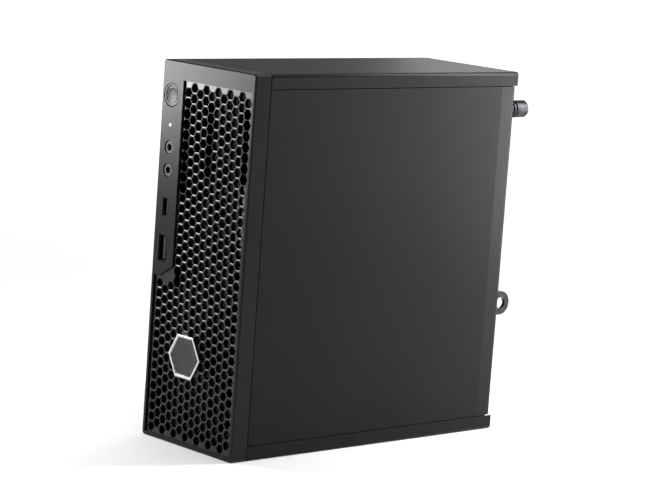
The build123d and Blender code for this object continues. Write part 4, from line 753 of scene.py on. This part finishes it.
thin = add(paper, "ShaderNodeMath", {1: BAR_START}, {0: row.outputs["Value"]}, operation="GREATER_THAN")
inner = add(paper, "ShaderNodeMath", {1: drive_y, 2: BAR_HALF}, {0: split.outputs["Y"]}, operation="COMPARE")
bars = add(paper, "ShaderNodeMath", links={0: thin.outputs["Value"], 1: inner.outputs["Value"]},
           operation="MULTIPLY")
ink = add(paper, "ShaderNodeMix", links={"Factor": bars.outputs["Value"]}, data_type="RGBA")
wire(paper, tone.outputs["Color"], ink.inputs["A"])
ink.inputs["B"].default_value = linear("#5d646b")
wire(paper, ink.outputs["Result"], shader.inputs["Base Color"])
finishes["paper"] = paper

plain()
label_y, label_z, label_thick = 72 * MM, 50 * MM, 0.12 * MM
bpy.ops.mesh.primitive_cube_add(size=1, location=(drive_high.x + label_thick / 2, drive_y, drive_z))
label = bpy.context.object
label.name = "drive_label"
label.dimensions = (label_thick, label_y, label_z)
settle()
pick(lambda centre, normal: False)
bpy.ops.object.mode_set(mode="OBJECT")
for line in label.data.edges:
    a, b = (label.data.vertices[k].co for k in line.vertices)
    line.select = abs(a.x - b.x) > label_thick / 2
bpy.context.tool_settings.mesh_select_mode = (False, True, False)
bpy.ops.object.mode_set(mode="EDIT")
bpy.ops.mesh.bevel(offset=2.5 * MM, segments=5)
bpy.ops.object.mode_set(mode="OBJECT")
label.data.materials.append(paper)
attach(label, "drive")
print("label", round(label_y / MM), "by", round(label_z / MM), "mm")

# %% [markdown]
# ## Fan ring and shroud screws
# A moulded ring edges the fan's well on the graphics cooler, four flat screws hold the shroud,
# and six more hold the drive's lid. The ring starts as a cylinder. Both its ends are inset, and
# the two inner faces are bridged, which opens the hole and makes the inner wall in one step.
# A screw is a disc that is inset twice and then pushed in, which leaves a socket for the driver.

# %% Fan ring
cooler_low, cooler_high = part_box("graphics_cooler")
fan_low, fan_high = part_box("graphics_fan")
fan_y, fan_z = (fan_low.y + fan_high.y) / 2, (fan_low.z + fan_high.z) / 2
WELL, RING_WIDTH, RING_HEIGHT = 24.2 * MM, 2.2 * MM, 0.8 * MM
plain()
bpy.ops.mesh.primitive_cylinder_add(vertices=72, radius=WELL + RING_WIDTH, depth=RING_HEIGHT,
                                    rotation=(0, math.pi / 2, 0),
                                    location=(cooler_high.x + RING_HEIGHT / 2 - 0.1 * MM, fan_y, fan_z))
ring = bpy.context.object
ring.name = "fan_ring"
settle()
pick(lambda centre, normal: abs(normal.x) > 0.9)
bpy.ops.mesh.inset(thickness=RING_WIDTH, depth=0, use_individual=True)
bpy.ops.mesh.bridge_edge_loops()
bpy.ops.mesh.select_all(action="SELECT")
bpy.ops.mesh.normals_make_consistent(inside=False)
bpy.ops.object.mode_set(mode="OBJECT")
soften = ring.modifiers.new("edge", "BEVEL")
soften.width, soften.segments, soften.angle_limit = 0.25 * MM, 2, math.radians(40)
bpy.ops.object.modifier_apply(modifier=soften.name)
bpy.ops.object.shade_smooth_by_angle(angle=math.radians(30))
ring.data.materials.append(finishes["gloss"])
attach(ring, "case")
print("ring with", len(ring.data.polygons), "faces")

# %% Flat screws at a list of places
FLAT_RADIUS, FLAT_HEIGHT, SHROUD_EDGE = 2.4 * MM, 0.5 * MM, 5 * MM


def flat_screws(name, x, places, body):
    """Low round screws on a face that looks towards +X, each with a round socket."""
    heads = []
    for y, z in places:
        plain()
        bpy.ops.mesh.primitive_cylinder_add(vertices=24, radius=FLAT_RADIUS, depth=FLAT_HEIGHT,
                                            rotation=(0, math.pi / 2, 0),
                                            location=(x + FLAT_HEIGHT / 2, y, z))
        settle()
        pick(lambda centre, normal: normal.x > 0.9)
        for thickness, depth in ((0.35, 0.0), (0.85, 0.0), (0.1, -0.35)):
            bpy.ops.mesh.inset(thickness=thickness * MM, depth=depth * MM)
        bpy.ops.object.mode_set(mode="OBJECT")
        heads.append(bpy.context.object)
    take(*reversed(heads))
    bpy.ops.object.join()
    joined = bpy.context.object
    joined.name = name
    joined.data.materials.append(finishes["nickel"])
    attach(joined, body)
    print(len(heads), "screws in", name)


shroud_y = (cooler_low.y + SHROUD_EDGE, cooler_high.y - SHROUD_EDGE)
shroud_z = (cooler_low.z + SHROUD_EDGE, cooler_high.z - SHROUD_EDGE)
flat_screws("shroud_screws", cooler_high.x, [(y, z) for y in shroud_y for z in shroud_z], "case")

# %% Lid screws of the drive
lid_y = (drive_low.y + 10 * MM, drive_y, drive_high.y - 7 * MM)
lid_z = (drive_low.z + 6.5 * MM, drive_high.z - 6.5 * MM)
flat_screws("drive_lid_screws", drive_high.x, [(y, z) for y in lid_y for z in lid_z], "drive")
